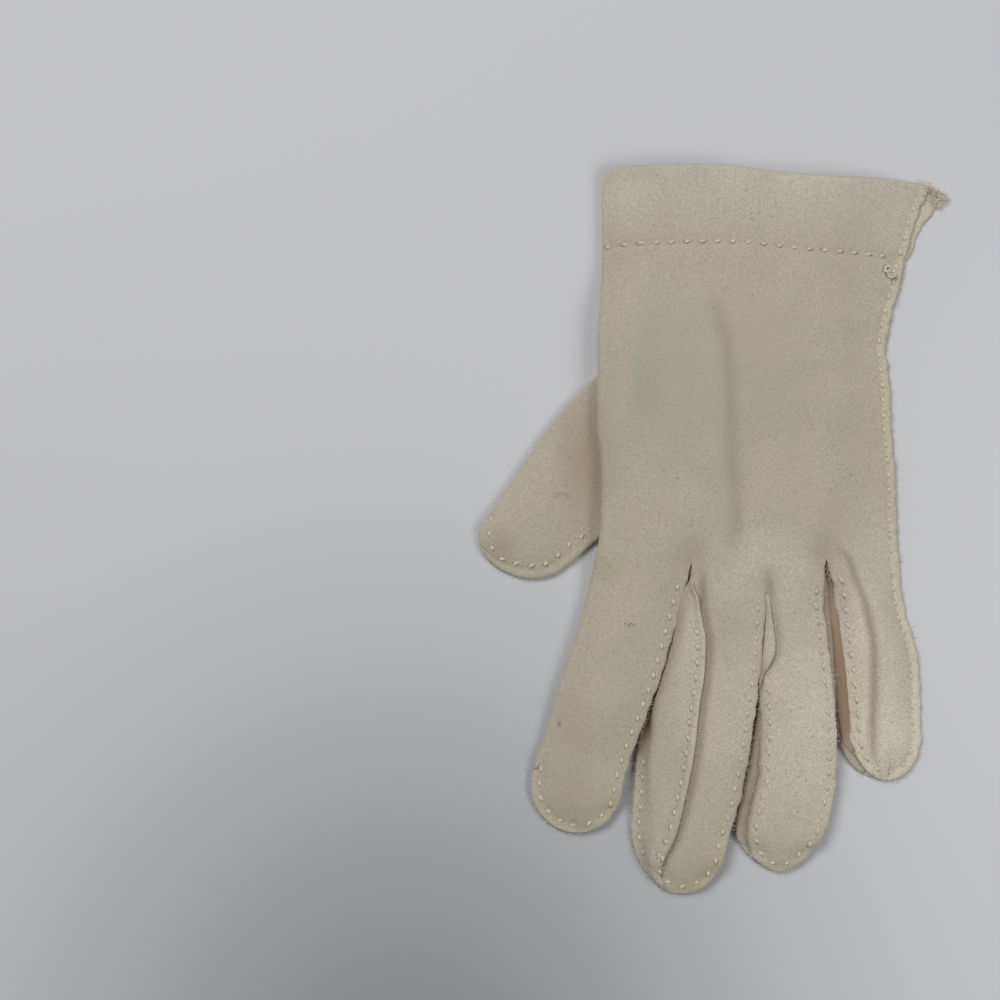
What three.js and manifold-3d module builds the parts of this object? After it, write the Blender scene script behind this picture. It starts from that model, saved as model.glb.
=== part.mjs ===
// Cotton dress glove for the left hand, lying palm down with its thumb out to one side.
// Lengths are in millimetres. +X runs from the thumb side to the little finger's side, +Y from
// the fingertips to the cuff, and +Z up. The glove lies on the plane z = 0.
// Every piece is a folded or bent sheet of cloth: a middle surface of quads, thickened both ways.

import * as THREE from 'three';
import { mergeVertices } from 'three/addons/utils/BufferGeometryUtils.js';
import Module from 'manifold-3d';

const wasm = await Module();
wasm.setup();

// Cloth and seams
const cloth = 1.0;
const halfCloth = cloth / 2;
const hemCloth = 1.6;
const hemDepth = 24;
const gap = 0.35;
const flangeGap = 0.45;
const allowance = 2.6;
const seamHeight = 2 * cloth + gap;

// Rounded fold along the forefinger's side
const foldHeight = 4;
const foldEndHeight = 2.9;
const foldSteps = 4;
const foldFullY = -30;
const foldEndY = -76;

// The thumb lies under the palm and lifts it
const thumbLift = 2.95;
const thumbEdge = { x: -35, y: -5, slope: 0.38 };
const liftRun = 13;
const liftEnd = { x1: -8, x2: 24, y1: 64, y2: 86 };
const thumbHole = { x: -7, y: 36, halfWidth: 11.5, halfLength: 31 };

// Hand: where the fold and the side seam run, the palm's own edge, and the height of the back
const hand = [
  { y: 116, fold: -34.0, seam: 70.4, palmSeam: 74.4, crown: 10.6 },
  { y: 105, fold: -34.9, seam: 67.3, palmSeam: 72.6, crown: 10.6 },
  { y: 98, fold: -34.9, seam: 65.0, palmSeam: 68.8, crown: 10.5 },
  { y: 89, fold: -34.9, seam: 62.5, palmSeam: 64.8, crown: 10.4 },
  { y: 81, fold: -35.0, seam: 60.4, palmSeam: 61.6, crown: 10.3 },
  { y: 73, fold: -35.2, seam: 59.0, palmSeam: 59.4, crown: 10.2 },
  { y: 60, fold: -36.2, seam: 56.0, palmSeam: 56.4, crown: 10.2 },
  { y: 51, fold: -36.8, seam: 56.3, palmSeam: 56.7, crown: 10.2 },
  { y: 32, fold: -36.5, seam: 57.8, palmSeam: 58.1, crown: 10.2 },
  { y: 16, fold: -35.0, seam: 59.0, palmSeam: 59.2, crown: 9.9 },
  { y: 0, fold: -35.2, seam: 59.0, palmSeam: 59.4, crown: 9.3 },
  { y: -10, fold: -37.1, seam: 59.8, palmSeam: 60.2, crown: 8.9 },
];

// Edge of the cuff, which dips at both corners
const cuffEdge = [
  { x: -35.0, y: 110.6 },
  { x: -31.6, y: 113.9 },
  { x: -22.7, y: 115.1 },
  { x: -10.0, y: 115.6 },
  { x: 2.7, y: 115.3 },
  { x: 21.7, y: 112.9 },
  { x: 43.8, y: 111.3 },
  { x: 59.7, y: 110.2 },
  { x: 70.0, y: 107.6 },
];

// Crotches between the fingers
const crotches = [
  { x: -6.9, y: -10.2 },
  { x: 16.7, y: -19.0 },
  { x: 35.5, y: -9.0 },
];

// Fingers: edges of the back tab and of the palm tab along each finger
const fingers = {
  index: {
    tipY: -96.6, round: 14.5, top: 8.9, edge: 7.3, columns: 6,
    rows: [
      { y: -10, backLeft: -37.1, backRight: -7.1, palmLeft: -37.1, palmRight: -7.7 },
      { y: -22, backLeft: -40.3, backRight: -9.6, palmLeft: -40.2, palmRight: -11.6 },
      { y: -38, backLeft: -44.8, backRight: -13.4, palmLeft: -44.7, palmRight: -17.4 },
      { y: -54, backLeft: -50.2, backRight: -19.1, palmLeft: -50.1, palmRight: -24.0 },
      { y: -70, backLeft: -54.7, backRight: -24.5, palmLeft: -54.6, palmRight: -29.4 },
      { y: -82, backLeft: -57.1, backRight: -27.9, palmLeft: -57.1, palmRight: -31.2 },
      { y: -97, backLeft: -56.6, backRight: -28.4, palmLeft: -56.5, palmRight: -30.6 },
    ],
  },
  middle: {
    tipY: -115.8, round: 12.5, top: 9.2, edge: 7.7, columns: 5,
    rows: [
      { y: -10, backLeft: -6.8, backRight: 16.6, palmLeft: -6.3, palmRight: 17.0 },
      { y: -22, backLeft: -6.7, backRight: 16.3, palmLeft: -8.2, palmRight: 14.8 },
      { y: -38, backLeft: -6.8, backRight: 15.8, palmLeft: -12.4, palmRight: 12.4 },
      { y: -54, backLeft: -8.7, backRight: 14.3, palmLeft: -18.1, palmRight: 8.6 },
      { y: -70, backLeft: -11.0, backRight: 12.1, palmLeft: -22.9, palmRight: 4.8 },
      { y: -86, backLeft: -14.1, backRight: 9.3, palmLeft: -24.9, palmRight: 1.8 },
      { y: -100, backLeft: -18.3, backRight: 5.2, palmLeft: -24.2, palmRight: 1.0 },
      { y: -116, backLeft: -21.1, backRight: 2.3, palmLeft: -20.8, palmRight: 2.0 },
    ],
  },
  ring: {
    tipY: -108.8, round: 13.5, top: 9.0, edge: 7.5, columns: 5,
    rows: [
      { y: -8, backLeft: 16.8, backRight: 35.3, palmLeft: 17.2, palmRight: 35.2 },
      { y: -22, backLeft: 16.9, backRight: 35.2, palmLeft: 17.4, palmRight: 35.4 },
      { y: -38, backLeft: 16.5, backRight: 37.8, palmLeft: 17.7, palmRight: 36.2 },
      { y: -54, backLeft: 16.3, backRight: 38.9, palmLeft: 15.7, palmRight: 36.2 },
      { y: -70, backLeft: 15.6, backRight: 39.1, palmLeft: 13.5, palmRight: 34.6 },
      { y: -86, backLeft: 13.7, backRight: 38.8, palmLeft: 10.5, palmRight: 32.8 },
      { y: -95, backLeft: 12.2, backRight: 36.2, palmLeft: 8.7, palmRight: 31.8 },
      { y: -109, backLeft: 9.6, backRight: 33.7, palmLeft: 9.6, palmRight: 33.0 },
    ],
  },
  little: {
    tipY: -79.6, round: 12.5, top: 8.6, edge: 6.6, columns: 5,
    rows: [
      { y: -8, backLeft: 35.7, backRight: 59.5, palmLeft: 36.0, palmRight: 60.1 },
      { y: -22, backLeft: 38.7, backRight: 60.6, palmLeft: 37.2, palmRight: 61.2 },
      { y: -38, backLeft: 41.3, backRight: 64.4, palmLeft: 39.4, palmRight: 65.0 },
      { y: -54, backLeft: 43.5, backRight: 66.4, palmLeft: 41.0, palmRight: 66.8 },
      { y: -66, backLeft: 45.2, backRight: 67.0, palmLeft: 42.4, palmRight: 67.4 },
      { y: -80, backLeft: 44.6, backRight: 67.0, palmLeft: 43.0, palmRight: 67.4 },
    ],
  },
};

// How a finger's crown and edges come down towards its tip
const tipHeights = [
  { fromTip: 0, crown: 0, edge: 0 },
  { fromTip: 4, crown: 0.36, edge: 0.02 },
  { fromTip: 9, crown: 0.68, edge: 0.6 },
  { fromTip: 24, crown: 1, edge: 1 },
];
const fingerStart = -24;

// Fourchettes: how far from the crotch and the tip they begin, and their flanges and webs
const fourchetteStart = 5;
const fourchetteEnd = 12;
const crotchFlange = 1.1;
const flangeGrowth = { from: 2, to: 14 };
const crotchEdge = -1.2;
const crotchRoot = 0.2;
const bevel = 0.6 * cloth;
const smallestRise = 0.3;
const widestWeb = 2.6;

// Thumb: its folded upper edge, its sewn lower edge and its height, from the tip to the palm
const thumbRows = [
  { foldX: -73.6, foldY: -1.2, seamX: -72.9, seamY: -5.6, height: 2.5 },
  { foldX: -72.1, foldY: 2.8, seamX: -69.3, seamY: -10.6, height: 3.2 },
  { foldX: -70.2, foldY: 5.4, seamX: -64.8, seamY: -13.2, height: 3.9 },
  { foldX: -65.4, foldY: 12.0, seamX: -57.5, seamY: -15.0, height: 4.6 },
  { foldX: -59.1, foldY: 21.9, seamX: -47.9, seamY: -12.6, height: 4.8 },
  { foldX: -51.1, foldY: 32.8, seamX: -40.2, seamY: -7.4, height: 3.7 },
  { foldX: -43.1, foldY: 42.7, seamX: -35.1, seamY: -2.3, height: 2.55 },
  { foldX: -36.1, foldY: 50.3, seamX: -29.4, seamY: 2.4, height: 2.5 },
  { foldX: -28.4, foldY: 57.6, seamX: -22.8, seamY: 5.4, height: 2.5 },
];
const thumbColumns = 7;
const thumbFoldHeight = 2.6;
const thumbSwell = 0.7;

// The thumb's base spreads to the rim of the oval: angles in degrees along the rim
const rimSteps = 4;
const rimCurve = 3;
const rimArcs = {
  upper: { from: 105, to: 269 },
  fold: { from: 97, to: 83 },
  lower: { from: 75, to: -89 },
};
const holeSegments = 28;

// Raised lines and hollows pressed into the back of the hand
const relief = [
  { x1: 0.2, y1: 74, x2: 5.6, y2: 41, height: 0.7, width: 4 },
  { x1: 5.6, y1: 41, x2: 6.6, y2: -4, height: 0.7, width: 4 },
  { x1: -21, y1: 74, x2: -19, y2: 30, height: -0.8, width: 4.5 },
  { x1: -8, y1: 66, x2: -5, y2: 10, height: -0.4, width: 4.5 },
];
const dimpleDepth = 1.5;
const dimpleWidth = 7;

// Widths over which the back rounds down to the fold and to the seams
const foldShoulder = 17;
const seamShoulder = 13;

// Rows of quads, close together at the hem's step and round the fingertips
const hemStep = 1.5;
const handRowsFromCuff = [0, 8, 16, hemDepth - hemStep, hemDepth + hemStep];
const handRowStep = 9;
const fingerRowStep = 9;
const tipAngles = [22, 43, 62, 78];
const sideSeamDrop = 1;

const { lerp, clamp, smoothstep, degToRad } = THREE.MathUtils;

// A column of a table at a place between its rows
function column(rows, key, name, at) {
  const rising = rows[rows.length - 1][key] > rows[0][key];
  let i = 0;
  while (i < rows.length - 2 && (rising ? at > rows[i + 1][key] : at < rows[i + 1][key])) {
    i += 1;
  }
  const part = clamp((at - rows[i][key]) / (rows[i + 1][key] - rows[i][key]), 0, 1);
  return lerp(rows[i][name], rows[i + 1][name], part);
}

// Height of the palm's underside above the surface, raised by the thumb
function liftAt(x, y) {
  const alongX = 1 - smoothstep(x, liftEnd.x1, liftEnd.x2);
  const lowerEdge = thumbEdge.y + thumbEdge.slope * (x - thumbEdge.x);
  const upperEnd = 1 - smoothstep(y, liftEnd.y1, liftEnd.y2);
  return thumbLift * alongX * upperEnd * smoothstep(y, lowerEdge - liftRun, lowerEdge);
}

function distanceToLine(x, y, line) {
  const dx = line.x2 - line.x1;
  const dy = line.y2 - line.y1;
  const along = clamp(((x - line.x1) * dx + (y - line.y1) * dy) / (dx * dx + dy * dy), 0, 1);
  return Math.hypot(x - line.x1 - along * dx, y - line.y1 - along * dy);
}

function reliefAt(x, y) {
  let height = 0;
  for (const line of relief) {
    height += line.height * Math.exp(-((distanceToLine(x, y, line) / line.width) ** 2));
  }
  return height;
}

// Round shoulders that bring a level top down to the height of each edge
function shouldered(top, x, left, right) {
  const fromLeft = clamp(1 - (x - left.x) / left.width, 0, 1);
  const fromRight = clamp(1 - (right.x - x) / right.width, 0, 1);
  return top - (top - left.z) * fromLeft ** 2 - (top - right.z) * fromRight ** 2;
}

// Top of the back of the hand
function handTop(x, y) {
  const crown = column(hand, 'y', 'crown', y);
  const fold = column(hand, 'y', 'fold', y);
  const seam = column(hand, 'y', 'seam', y);
  const left = { x: fold + foldHeight / 2, z: liftAt(fold, y) + foldHeight, width: foldShoulder };
  const right = { x: seam - allowance, z: liftAt(seam, y) + seamHeight, width: seamShoulder };
  let height = shouldered(crown, x, left, right);
  const inside = clamp((x - fold) / foldShoulder, 0, 1) * clamp((seam - x) / seamShoulder, 0, 1);
  height += reliefAt(x, y) * inside;
  for (const crotch of crotches) {
    const away = Math.hypot(x - crotch.x, y - crotch.y);
    height -= dimpleDepth * Math.exp(-((away / dimpleWidth) ** 2));
  }
  return height;
}

// Edges of one finger at a station, rounded in at the tip
function fingerEdges(finger, side, y) {
  const left = column(finger.rows, 'y', `${side}Left`, y);
  const right = column(finger.rows, 'y', `${side}Right`, y);
  const into = clamp((finger.tipY + finger.round - y) / finger.round, 0, 1);
  const half = (right - left) / 2 * Math.sqrt(1 - into * into);
  const middle = (left + right) / 2;
  return { left: middle - half, right: middle + half };
}

// Top of a finger's back tab
function fingerTop(finger, x, y) {
  const fromTip = y - finger.tipY;
  const crown = lerp(seamHeight, finger.top, column(tipHeights, 'fromTip', 'crown', fromTip));
  const edge = lerp(seamHeight, finger.edge, column(tipHeights, 'fromTip', 'edge', fromTip));
  const { left, right } = fingerEdges(finger, 'back', y);
  const shoulder = (right - left) / 2;
  const leftEdge = { x: left, z: edge, width: shoulder };
  const rightEdge = { x: right, z: edge, width: shoulder };
  if (finger === fingers.index) {
    leftEdge.z = foldTopAt(left, y);
    leftEdge.x = left + (y > foldEndY ? foldHeight / 2 : allowance);
  }
  if (finger === fingers.little) {
    rightEdge.z = seamHeight;
    rightEdge.x = right - Math.min(allowance, shoulder);
  }
  return Math.max(shouldered(crown, x, leftEdge, rightEdge), seamHeight);
}

// The fold narrows along the forefinger and ends where its tip seam starts
function foldHeightAt(y) {
  return lerp(foldEndHeight, foldHeight, smoothstep(y, foldEndY, foldFullY));
}

function foldTopAt(x, y) {
  return y > foldEndY ? liftAt(x, y) + foldHeightAt(y) : seamHeight;
}

// A sheet of quads over a middle surface, thickened to a closed solid
class Sheet {
  constructor() {
    this.points = [];
    this.inward = [];
    this.faces = [];
  }

  point(x, y, z, inward = halfCloth) {
    this.points.push(new THREE.Vector3(x, y, z));
    this.inward.push(inward);
    return this.points.length - 1;
  }

  // Joins two rows of points with quads
  strip(first, second) {
    for (let i = 0; i + 1 < first.length; i += 1) {
      this.faces.push([first[i], first[i + 1], second[i + 1]]);
      this.faces.push([first[i], second[i + 1], second[i]]);
    }
  }

  normals() {
    const normals = this.points.map(() => new THREE.Vector3());
    for (const [a, b, c] of this.faces) {
      const ab = this.points[b].clone().sub(this.points[a]);
      const ac = this.points[c].clone().sub(this.points[a]);
      const normal = ab.cross(ac);
      normals[a].add(normal);
      normals[b].add(normal);
      normals[c].add(normal);
    }
    return normals.map((normal) => normal.normalize());
  }

  solid() {
    const count = this.points.length;
    const normals = this.normals();
    const outer = this.points.map((p, i) => p.clone().addScaledVector(normals[i], halfCloth));
    const inner = this.points.map((p, i) => p.clone().addScaledVector(normals[i], -this.inward[i]));
    const corners = [];
    const open = new Map();
    for (const [a, b, c] of this.faces) {
      corners.push(a, b, c);
      corners.push(c + count, b + count, a + count);
      for (const [from, to] of [[a, b], [b, c], [c, a]]) {
        if (!open.delete(`${to},${from}`)) {
          open.set(`${from},${to}`, [from, to]);
        }
      }
    }
    for (const [from, to] of open.values()) {
      corners.push(to, from, from + count);
      corners.push(to, from + count, to + count);
    }
    return closedGeometry([...outer, ...inner], corners);
  }
}

function closedGeometry(points, corners) {
  const geometry = new THREE.BufferGeometry().setFromPoints(points);
  geometry.setIndex(corners);
  return mergeVertices(geometry);
}

// Manifold solid of a closed geometry, and back again
function toManifold(geometry) {
  const vertProperties = new Float32Array(geometry.attributes.position.array);
  const triVerts = new Uint32Array(geometry.index.array);
  return new wasm.Manifold(new wasm.Mesh({ numProp: 3, vertProperties, triVerts }));
}

function fromManifold(solid) {
  const mesh = solid.getMesh();
  const geometry = new THREE.BufferGeometry();
  geometry.setAttribute('position', new THREE.BufferAttribute(mesh.vertProperties, 3));
  geometry.setIndex(new THREE.BufferAttribute(mesh.triVerts, 1));
  return geometry;
}

// Columns across the hand, each on one finger: its finger, its place on that finger, and the
// x and y where it meets the crotch line
function handColumns() {
  const start = hand[hand.length - 1].fold + foldHeight / 2;
  const end = hand[hand.length - 1].seam - allowance;
  const sideY = crotches[2].y - sideSeamDrop;
  const marks = [{ x: start, y: crotches[0].y }, ...crotches, { x: end, y: sideY }];
  const columns = [];
  Object.entries(fingers).forEach(([name, finger], i) => {
    for (let k = i === 0 ? 0 : 1; k <= finger.columns; k += 1) {
      const part = k / finger.columns;
      const x = lerp(marks[i].x, marks[i + 1].x, part);
      const y = lerp(marks[i].y, marks[i + 1].y, part);
      columns.push({ name, x, y, across: (x - start) / (end - start) });
    }
  });
  columns.push({ name: 'little', x: end + allowance, y: sideY, across: 1, edge: true });
  return columns;
}

// Place on the hand of one column at a distance below the cuff's edge
function handPoint(place, side, below) {
  const nominal = lerp(hand[0].fold, hand[0].seam, place.across);
  const cuffY = column(cuffEdge, 'x', 'y', nominal);
  const y = Math.max(cuffY - below, place.y);
  const fold = column(hand, 'y', 'fold', y) + foldHeight / 2;
  const seam = column(hand, 'y', side === 'back' ? 'seam' : 'palmSeam', y);
  const x = place.edge ? seam : lerp(fold, seam - allowance, place.across);
  return { x, y };
}

// Half round of the fold between the palm and the back, from the back down
function foldPoints(sheet, foldX, y, height, inward) {
  const lift = liftAt(foldX, y);
  const radius = height / 2 - halfCloth;
  const ids = [];
  for (let k = 1; k < foldSteps; k += 1) {
    const angle = Math.PI * (0.5 + k / foldSteps);
    const x = foldX + height / 2 + radius * Math.cos(angle);
    ids.push(sheet.point(x, y, lift + height / 2 + radius * Math.sin(angle), inward));
  }
  return ids;
}

// The trank: back and palm in one piece of cloth, folded along the forefinger's side
function trank() {
  const sheet = new Sheet();
  const columns = handColumns();
  const longest = Math.max(...columns.map((c) => handPoint(c, 'back', 0).y - c.y));
  const belows = [...handRowsFromCuff];
  const rowsLeft = Math.round((longest - hemDepth) / handRowStep);
  const lastBelow = belows[belows.length - 1];
  for (let k = 1; k <= rowsLeft; k += 1) {
    belows.push(lerp(lastBelow, longest, k / rowsLeft));
  }
  let previous = null;
  let last = null;
  for (const below of belows) {
    const inward = below < hemDepth ? hemCloth - halfCloth : halfCloth;
    const stretch = (c) => {
      const length = handPoint(c, 'back', 0).y - c.y;
      const beyond = (below - lastBelow) / (longest - lastBelow);
      return below <= lastBelow ? below : lerp(lastBelow, length, beyond);
    };
    const back = columns.map((c) => {
      const { x, y } = handPoint(c, 'back', stretch(c));
      const top = c.edge ? seamHeight + liftAt(x, y) : handTop(x, y);
      return sheet.point(x, y, top - halfCloth, inward);
    });
    const palm = columns.map((c) => {
      const { x, y } = handPoint(c, 'palm', stretch(c));
      return sheet.point(x, y, liftAt(x, y) + halfCloth, inward);
    });
    const foldY = sheet.points[back[0]].y;
    const foldX = column(hand, 'y', 'fold', foldY);
    const fold = foldPoints(sheet, foldX, foldY, foldHeight, inward);
    const row = [...back.slice().reverse(), ...fold, ...palm];
    if (previous) {
      sheet.strip(previous, row);
    }
    previous = row;
    last = { back, palm, fold };
  }
  addFingerTabs(sheet, columns, last);
  const hole = thumbHoleCutter();
  return fromManifold(toManifold(sheet.solid()).subtract(hole));
}

// Stations along a finger below its first row, close together round the tip
function fingerStations(finger) {
  const roundStart = finger.tipY + finger.round;
  const steps = Math.round((fingerStart - roundStart) / fingerRowStep);
  const stations = [];
  for (let k = 0; k <= steps; k += 1) {
    stations.push(lerp(fingerStart, roundStart, k / steps));
  }
  for (const angle of tipAngles) {
    stations.push(roundStart - finger.round * Math.sin(degToRad(angle)));
  }
  return stations;
}

// Back and palm tabs of the four fingers, carried on from the last row of the hand
function addFingerTabs(sheet, columns, last) {
  let first = 0;
  Object.entries(fingers).forEach(([name, finger]) => {
    const extra = name === 'little' ? 1 : 0;
    const end = first + finger.columns + extra;
    const own = columns.slice(first, end + 1);
    let back = last.back.slice(first, end + 1);
    let palm = last.palm.slice(first, end + 1);
    let fold = last.fold;
    for (const y of fingerStations(finger)) {
      const nextBack = tabRow(sheet, finger, 'back', y, own);
      const nextPalm = tabRow(sheet, finger, 'palm', y, own);
      const folded = name === 'index' && y > foldEndY;
      if (folded) {
        const foldX = fingerEdges(finger, 'back', y).left;
        const nextFold = foldPoints(sheet, foldX, y, foldHeightAt(y), halfCloth);
        const above = [...back.slice().reverse(), ...fold, ...palm];
        const below = [...nextBack.slice().reverse(), ...nextFold, ...nextPalm];
        sheet.strip(above, below);
        fold = nextFold;
      } else {
        sheet.strip(back.slice().reverse(), nextBack.slice().reverse());
        sheet.strip(palm, nextPalm);
      }
      back = nextBack;
      palm = nextPalm;
    }
    first = end - extra;
  });
}

// One row of points across a finger's back tab or palm tab
function tabRow(sheet, finger, side, y, own) {
  let { left, right } = fingerEdges(finger, side, y);
  const isIndex = finger === fingers.index;
  const isLittle = finger === fingers.little;
  if (isIndex && y > foldEndY) {
    left += foldHeightAt(y) / 2;
  }
  const flange = isLittle ? Math.min(allowance, (right - left) / 4) : 0;
  return own.map((c, i) => {
    const x = c.edge ? right : lerp(left, right - flange, i / finger.columns);
    const top = fingerTop(finger, x, y);
    const z = side === 'back' ? top - halfCloth : liftAt(x, y) + halfCloth;
    return sheet.point(x, y, z);
  });
}

// Oval through the palm where the thumb is set in
function thumbHoleCutter() {
  const shape = new THREE.Shape();
  shape.absellipse(thumbHole.x, thumbHole.y, thumbHole.halfWidth - halfCloth,
    thumbHole.halfLength - halfCloth, 0, 2 * Math.PI);
  const depth = thumbLift + 2 * cloth;
  const options = { depth, bevelEnabled: false, curveSegments: holeSegments };
  const cutter = new THREE.ExtrudeGeometry(shape, options);
  cutter.deleteAttribute('normal');
  cutter.deleteAttribute('uv');
  return toManifold(mergeVertices(cutter));
}

// Section of a fourchette: a web with a raw-edged flange under the back and one on the palm.
// out is the way that the flanges point: +1 to the little finger's side, -1 to the thumb's.
function fourchetteSection(finger, side, y, flange, out) {
  const backEdge = fingerEdges(finger, 'back', y)[side];
  const palmEdge = fingerEdges(finger, 'palm', y)[side];
  const topUp = (x) => fingerTop(finger, x, y) - cloth - flangeGap;
  const lowDown = (x) => liftAt(x, y) + cloth + gap;
  const backRoot = backEdge - out * flange;
  const palmRoot = palmEdge - out * flange;
  const rise = Math.max(topUp(backRoot) - lowDown(palmRoot) - 2 * cloth, smallestRise);
  const slope = Math.hypot(backRoot - palmRoot, rise) / rise;
  const web = Math.min(cloth * slope, widestWeb);
  const at = (x, z) => new THREE.Vector3(x, y, z);
  return [
    at(backEdge, topUp(backEdge)),
    at(backRoot - out * bevel, topUp(backRoot - out * bevel)),
    at(backRoot - out * web, topUp(backRoot) - cloth),
    at(palmRoot - out * web, lowDown(palmRoot) + cloth),
    at(palmRoot - out * bevel, lowDown(palmRoot)),
    at(palmEdge, lowDown(palmEdge)),
    at(palmEdge, lowDown(palmEdge) + cloth),
    at(palmRoot, lowDown(palmRoot) + cloth),
    at(backRoot, topUp(backRoot) - cloth),
    at(backEdge, topUp(backEdge) - cloth),
  ];
}

// The turn of a fourchette at the crotch, where its flanges point down the slit
function crotchSection(crotch) {
  const top = handTop(crotch.x, crotch.y) - cloth - flangeGap;
  const low = liftAt(crotch.x, crotch.y) + cloth + gap;
  const edge = crotch.y + crotchEdge;
  const root = crotch.y + crotchRoot;
  const at = (y, z) => new THREE.Vector3(crotch.x, y, z);
  return [
    at(edge, top),
    at(root + bevel, top),
    at(root + cloth, top - cloth),
    at(root + cloth, low + cloth),
    at(root + bevel, low),
    at(edge, low),
    at(edge, low + cloth),
    at(root, low + cloth),
    at(root, top - cloth),
    at(edge, top - cloth),
  ];
}

// A fourchette: the strip that runs up one finger's side, turns at the crotch and runs down
// the side of the next finger
function fourchette(left, right, crotch) {
  const growth = (y) => smoothstep(crotch.y - y, flangeGrowth.from, flangeGrowth.to);
  const flangeAt = (y) => lerp(crotchFlange, allowance, growth(y));
  const leg = (finger, side, out) => {
    const end = finger.tipY + fourchetteEnd;
    const start = crotch.y - fourchetteStart;
    const steps = Math.round((start - end) / fingerRowStep) + 1;
    const sections = [];
    for (let k = 0; k <= steps; k += 1) {
      const y = lerp(start, end, k / steps);
      sections.push(fourchetteSection(finger, side, y, flangeAt(y), out));
    }
    return sections;
  };
  const up = leg(left, 'right', 1).reverse();
  const down = leg(right, 'left', -1);
  return loft([...up, crotchSection(crotch), ...down]);
}

// Solid through a row of closed sections with the same number of corners
function loft(sections) {
  const size = sections[0].length;
  const corners = [];
  for (let s = 0; s + 1 < sections.length; s += 1) {
    for (let k = 0; k < size; k += 1) {
      const a = s * size + k;
      const b = s * size + (k + 1) % size;
      corners.push(b + size, b, a);
      corners.push(a + size, b + size, a);
    }
  }
  const capped = [
    [0, 1, 9], [1, 8, 9], [1, 2, 8], [2, 3, 8], [3, 7, 8], [3, 4, 7], [4, 6, 7], [4, 5, 6],
  ];
  const end = (sections.length - 1) * size;
  for (const [a, b, c] of capped) {
    corners.push(a, b, c);
    corners.push(c + end, b + end, a + end);
  }
  return closedGeometry(sections.flat(), corners);
}

// The thumb: one folded sheet, sewn along its lower edge and open at its base, where it
// spreads to the oval in the palm
function thumb() {
  const sheet = new Sheet();
  let previous = null;
  const addRow = (upper, fold, lower) => {
    const row = [...upper.slice().reverse(), ...fold, ...lower];
    const ids = row.map((p) => sheet.point(p.x, p.y, p.z));
    if (previous) {
      sheet.strip(previous, ids);
    }
    previous = ids;
  };
  const rows = thumbRows.map(thumbRow);
  for (const row of rows) {
    addRow(row.upper, row.fold, row.lower);
  }
  const base = rows[rows.length - 1];
  const rim = thumbRim();
  for (let k = 1; k <= rimSteps; k += 1) {
    const part = k / rimSteps;
    const rise = part ** rimCurve;
    const blend = (p, q) => new THREE.Vector3(
      lerp(p.x, q.x, part), lerp(p.y, q.y, part), lerp(p.z, q.z, rise));
    const mix = (from, to) => from.map((p, i) => blend(p, to[i]));
    addRow(mix(base.upper, rim.upper), mix(base.fold, rim.fold), mix(base.lower, rim.lower));
  }
  return sheet.solid();
}

// One row across the thumb: upper layer, rounded fold and lower layer
function thumbRow(row) {
  const width = Math.hypot(row.seamX - row.foldX, row.seamY - row.foldY);
  const along = new THREE.Vector2(row.seamX - row.foldX, row.seamY - row.foldY).divideScalar(width);
  const height = Math.min(row.height, thumbFoldHeight);
  const radius = height / 2 - halfCloth;
  const flange = Math.min(allowance, width / 4);
  const at = (distance, z) => new THREE.Vector3(
    row.foldX + along.x * distance, row.foldY + along.y * distance, z);
  const layer = (upper) => {
    const points = [];
    for (let k = 0; k <= thumbColumns; k += 1) {
      const part = Math.min(k / (thumbColumns - 1), 1);
      const distance = k === thumbColumns ? width : lerp(height / 2, width - flange, part);
      const swell = Math.sin(Math.PI * part) ** thumbSwell;
      const seam = seamHeight * part + height * (1 - part);
      const top = seam + (row.height - height) * swell;
      points.push(at(distance, upper ? top - halfCloth : halfCloth));
    }
    return points;
  };
  const fold = [];
  for (let k = 1; k < foldSteps; k += 1) {
    const angle = Math.PI * (0.5 + k / foldSteps);
    fold.push(at(height / 2 + radius * Math.cos(angle), height / 2 + radius * Math.sin(angle)));
  }
  return { upper: layer(true), fold, lower: layer(false) };
}

// Rim of the thumb's base, just under the oval in the palm
function thumbRim() {
  const at = (angle) => {
    const x = thumbHole.x + thumbHole.halfWidth * Math.cos(angle);
    const y = thumbHole.y + thumbHole.halfLength * Math.sin(angle);
    return new THREE.Vector3(x, y, liftAt(x, y) - gap - halfCloth);
  };
  const turn = ({ from, to }, count) => {
    const points = [];
    for (let k = 0; k < count; k += 1) {
      points.push(at(degToRad(lerp(from, to, k / (count - 1)))));
    }
    return points;
  };
  return {
    upper: turn(rimArcs.upper, thumbColumns + 1),
    fold: turn(rimArcs.fold, foldSteps - 1),
    lower: turn(rimArcs.lower, thumbColumns + 1),
  };
}

// Finishes: washed ecru cotton, the fourchettes a shade paler
const clothColour = 0xe9e4d3;
const fourchetteColour = 0xeeeadc;

function piece(name, geometry, colour) {
  geometry.computeVertexNormals();
  const material = new THREE.MeshStandardMaterial({ color: colour, roughness: 0.95, metalness: 0 });
  const mesh = new THREE.Mesh(geometry, material);
  mesh.name = name;
  return mesh;
}

const glove = new THREE.Group();
glove.add(piece('trank', trank(), clothColour));
glove.add(piece('thumb', thumb(), clothColour));
const { index, middle, ring, little } = fingers;
glove.add(piece('fourchette_index_middle', fourchette(index, middle, crotches[0]), fourchetteColour));
glove.add(piece('fourchette_middle_ring', fourchette(middle, ring, crotches[1]), fourchetteColour));
glove.add(piece('fourchette_ring_little', fourchette(ring, little, crotches[2]), fourchetteColour));

// The origin is at the middle of the glove's footprint
const box = new THREE.Box3().setFromObject(glove);
glove.position.set(-(box.min.x + box.max.x) / 2, -(box.min.y + box.max.y) / 2, -box.min.z);

export default glove;
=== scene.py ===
import math

import bpy
import numpy as np
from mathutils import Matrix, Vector
from mathutils.bvhtree import BVHTree


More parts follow.
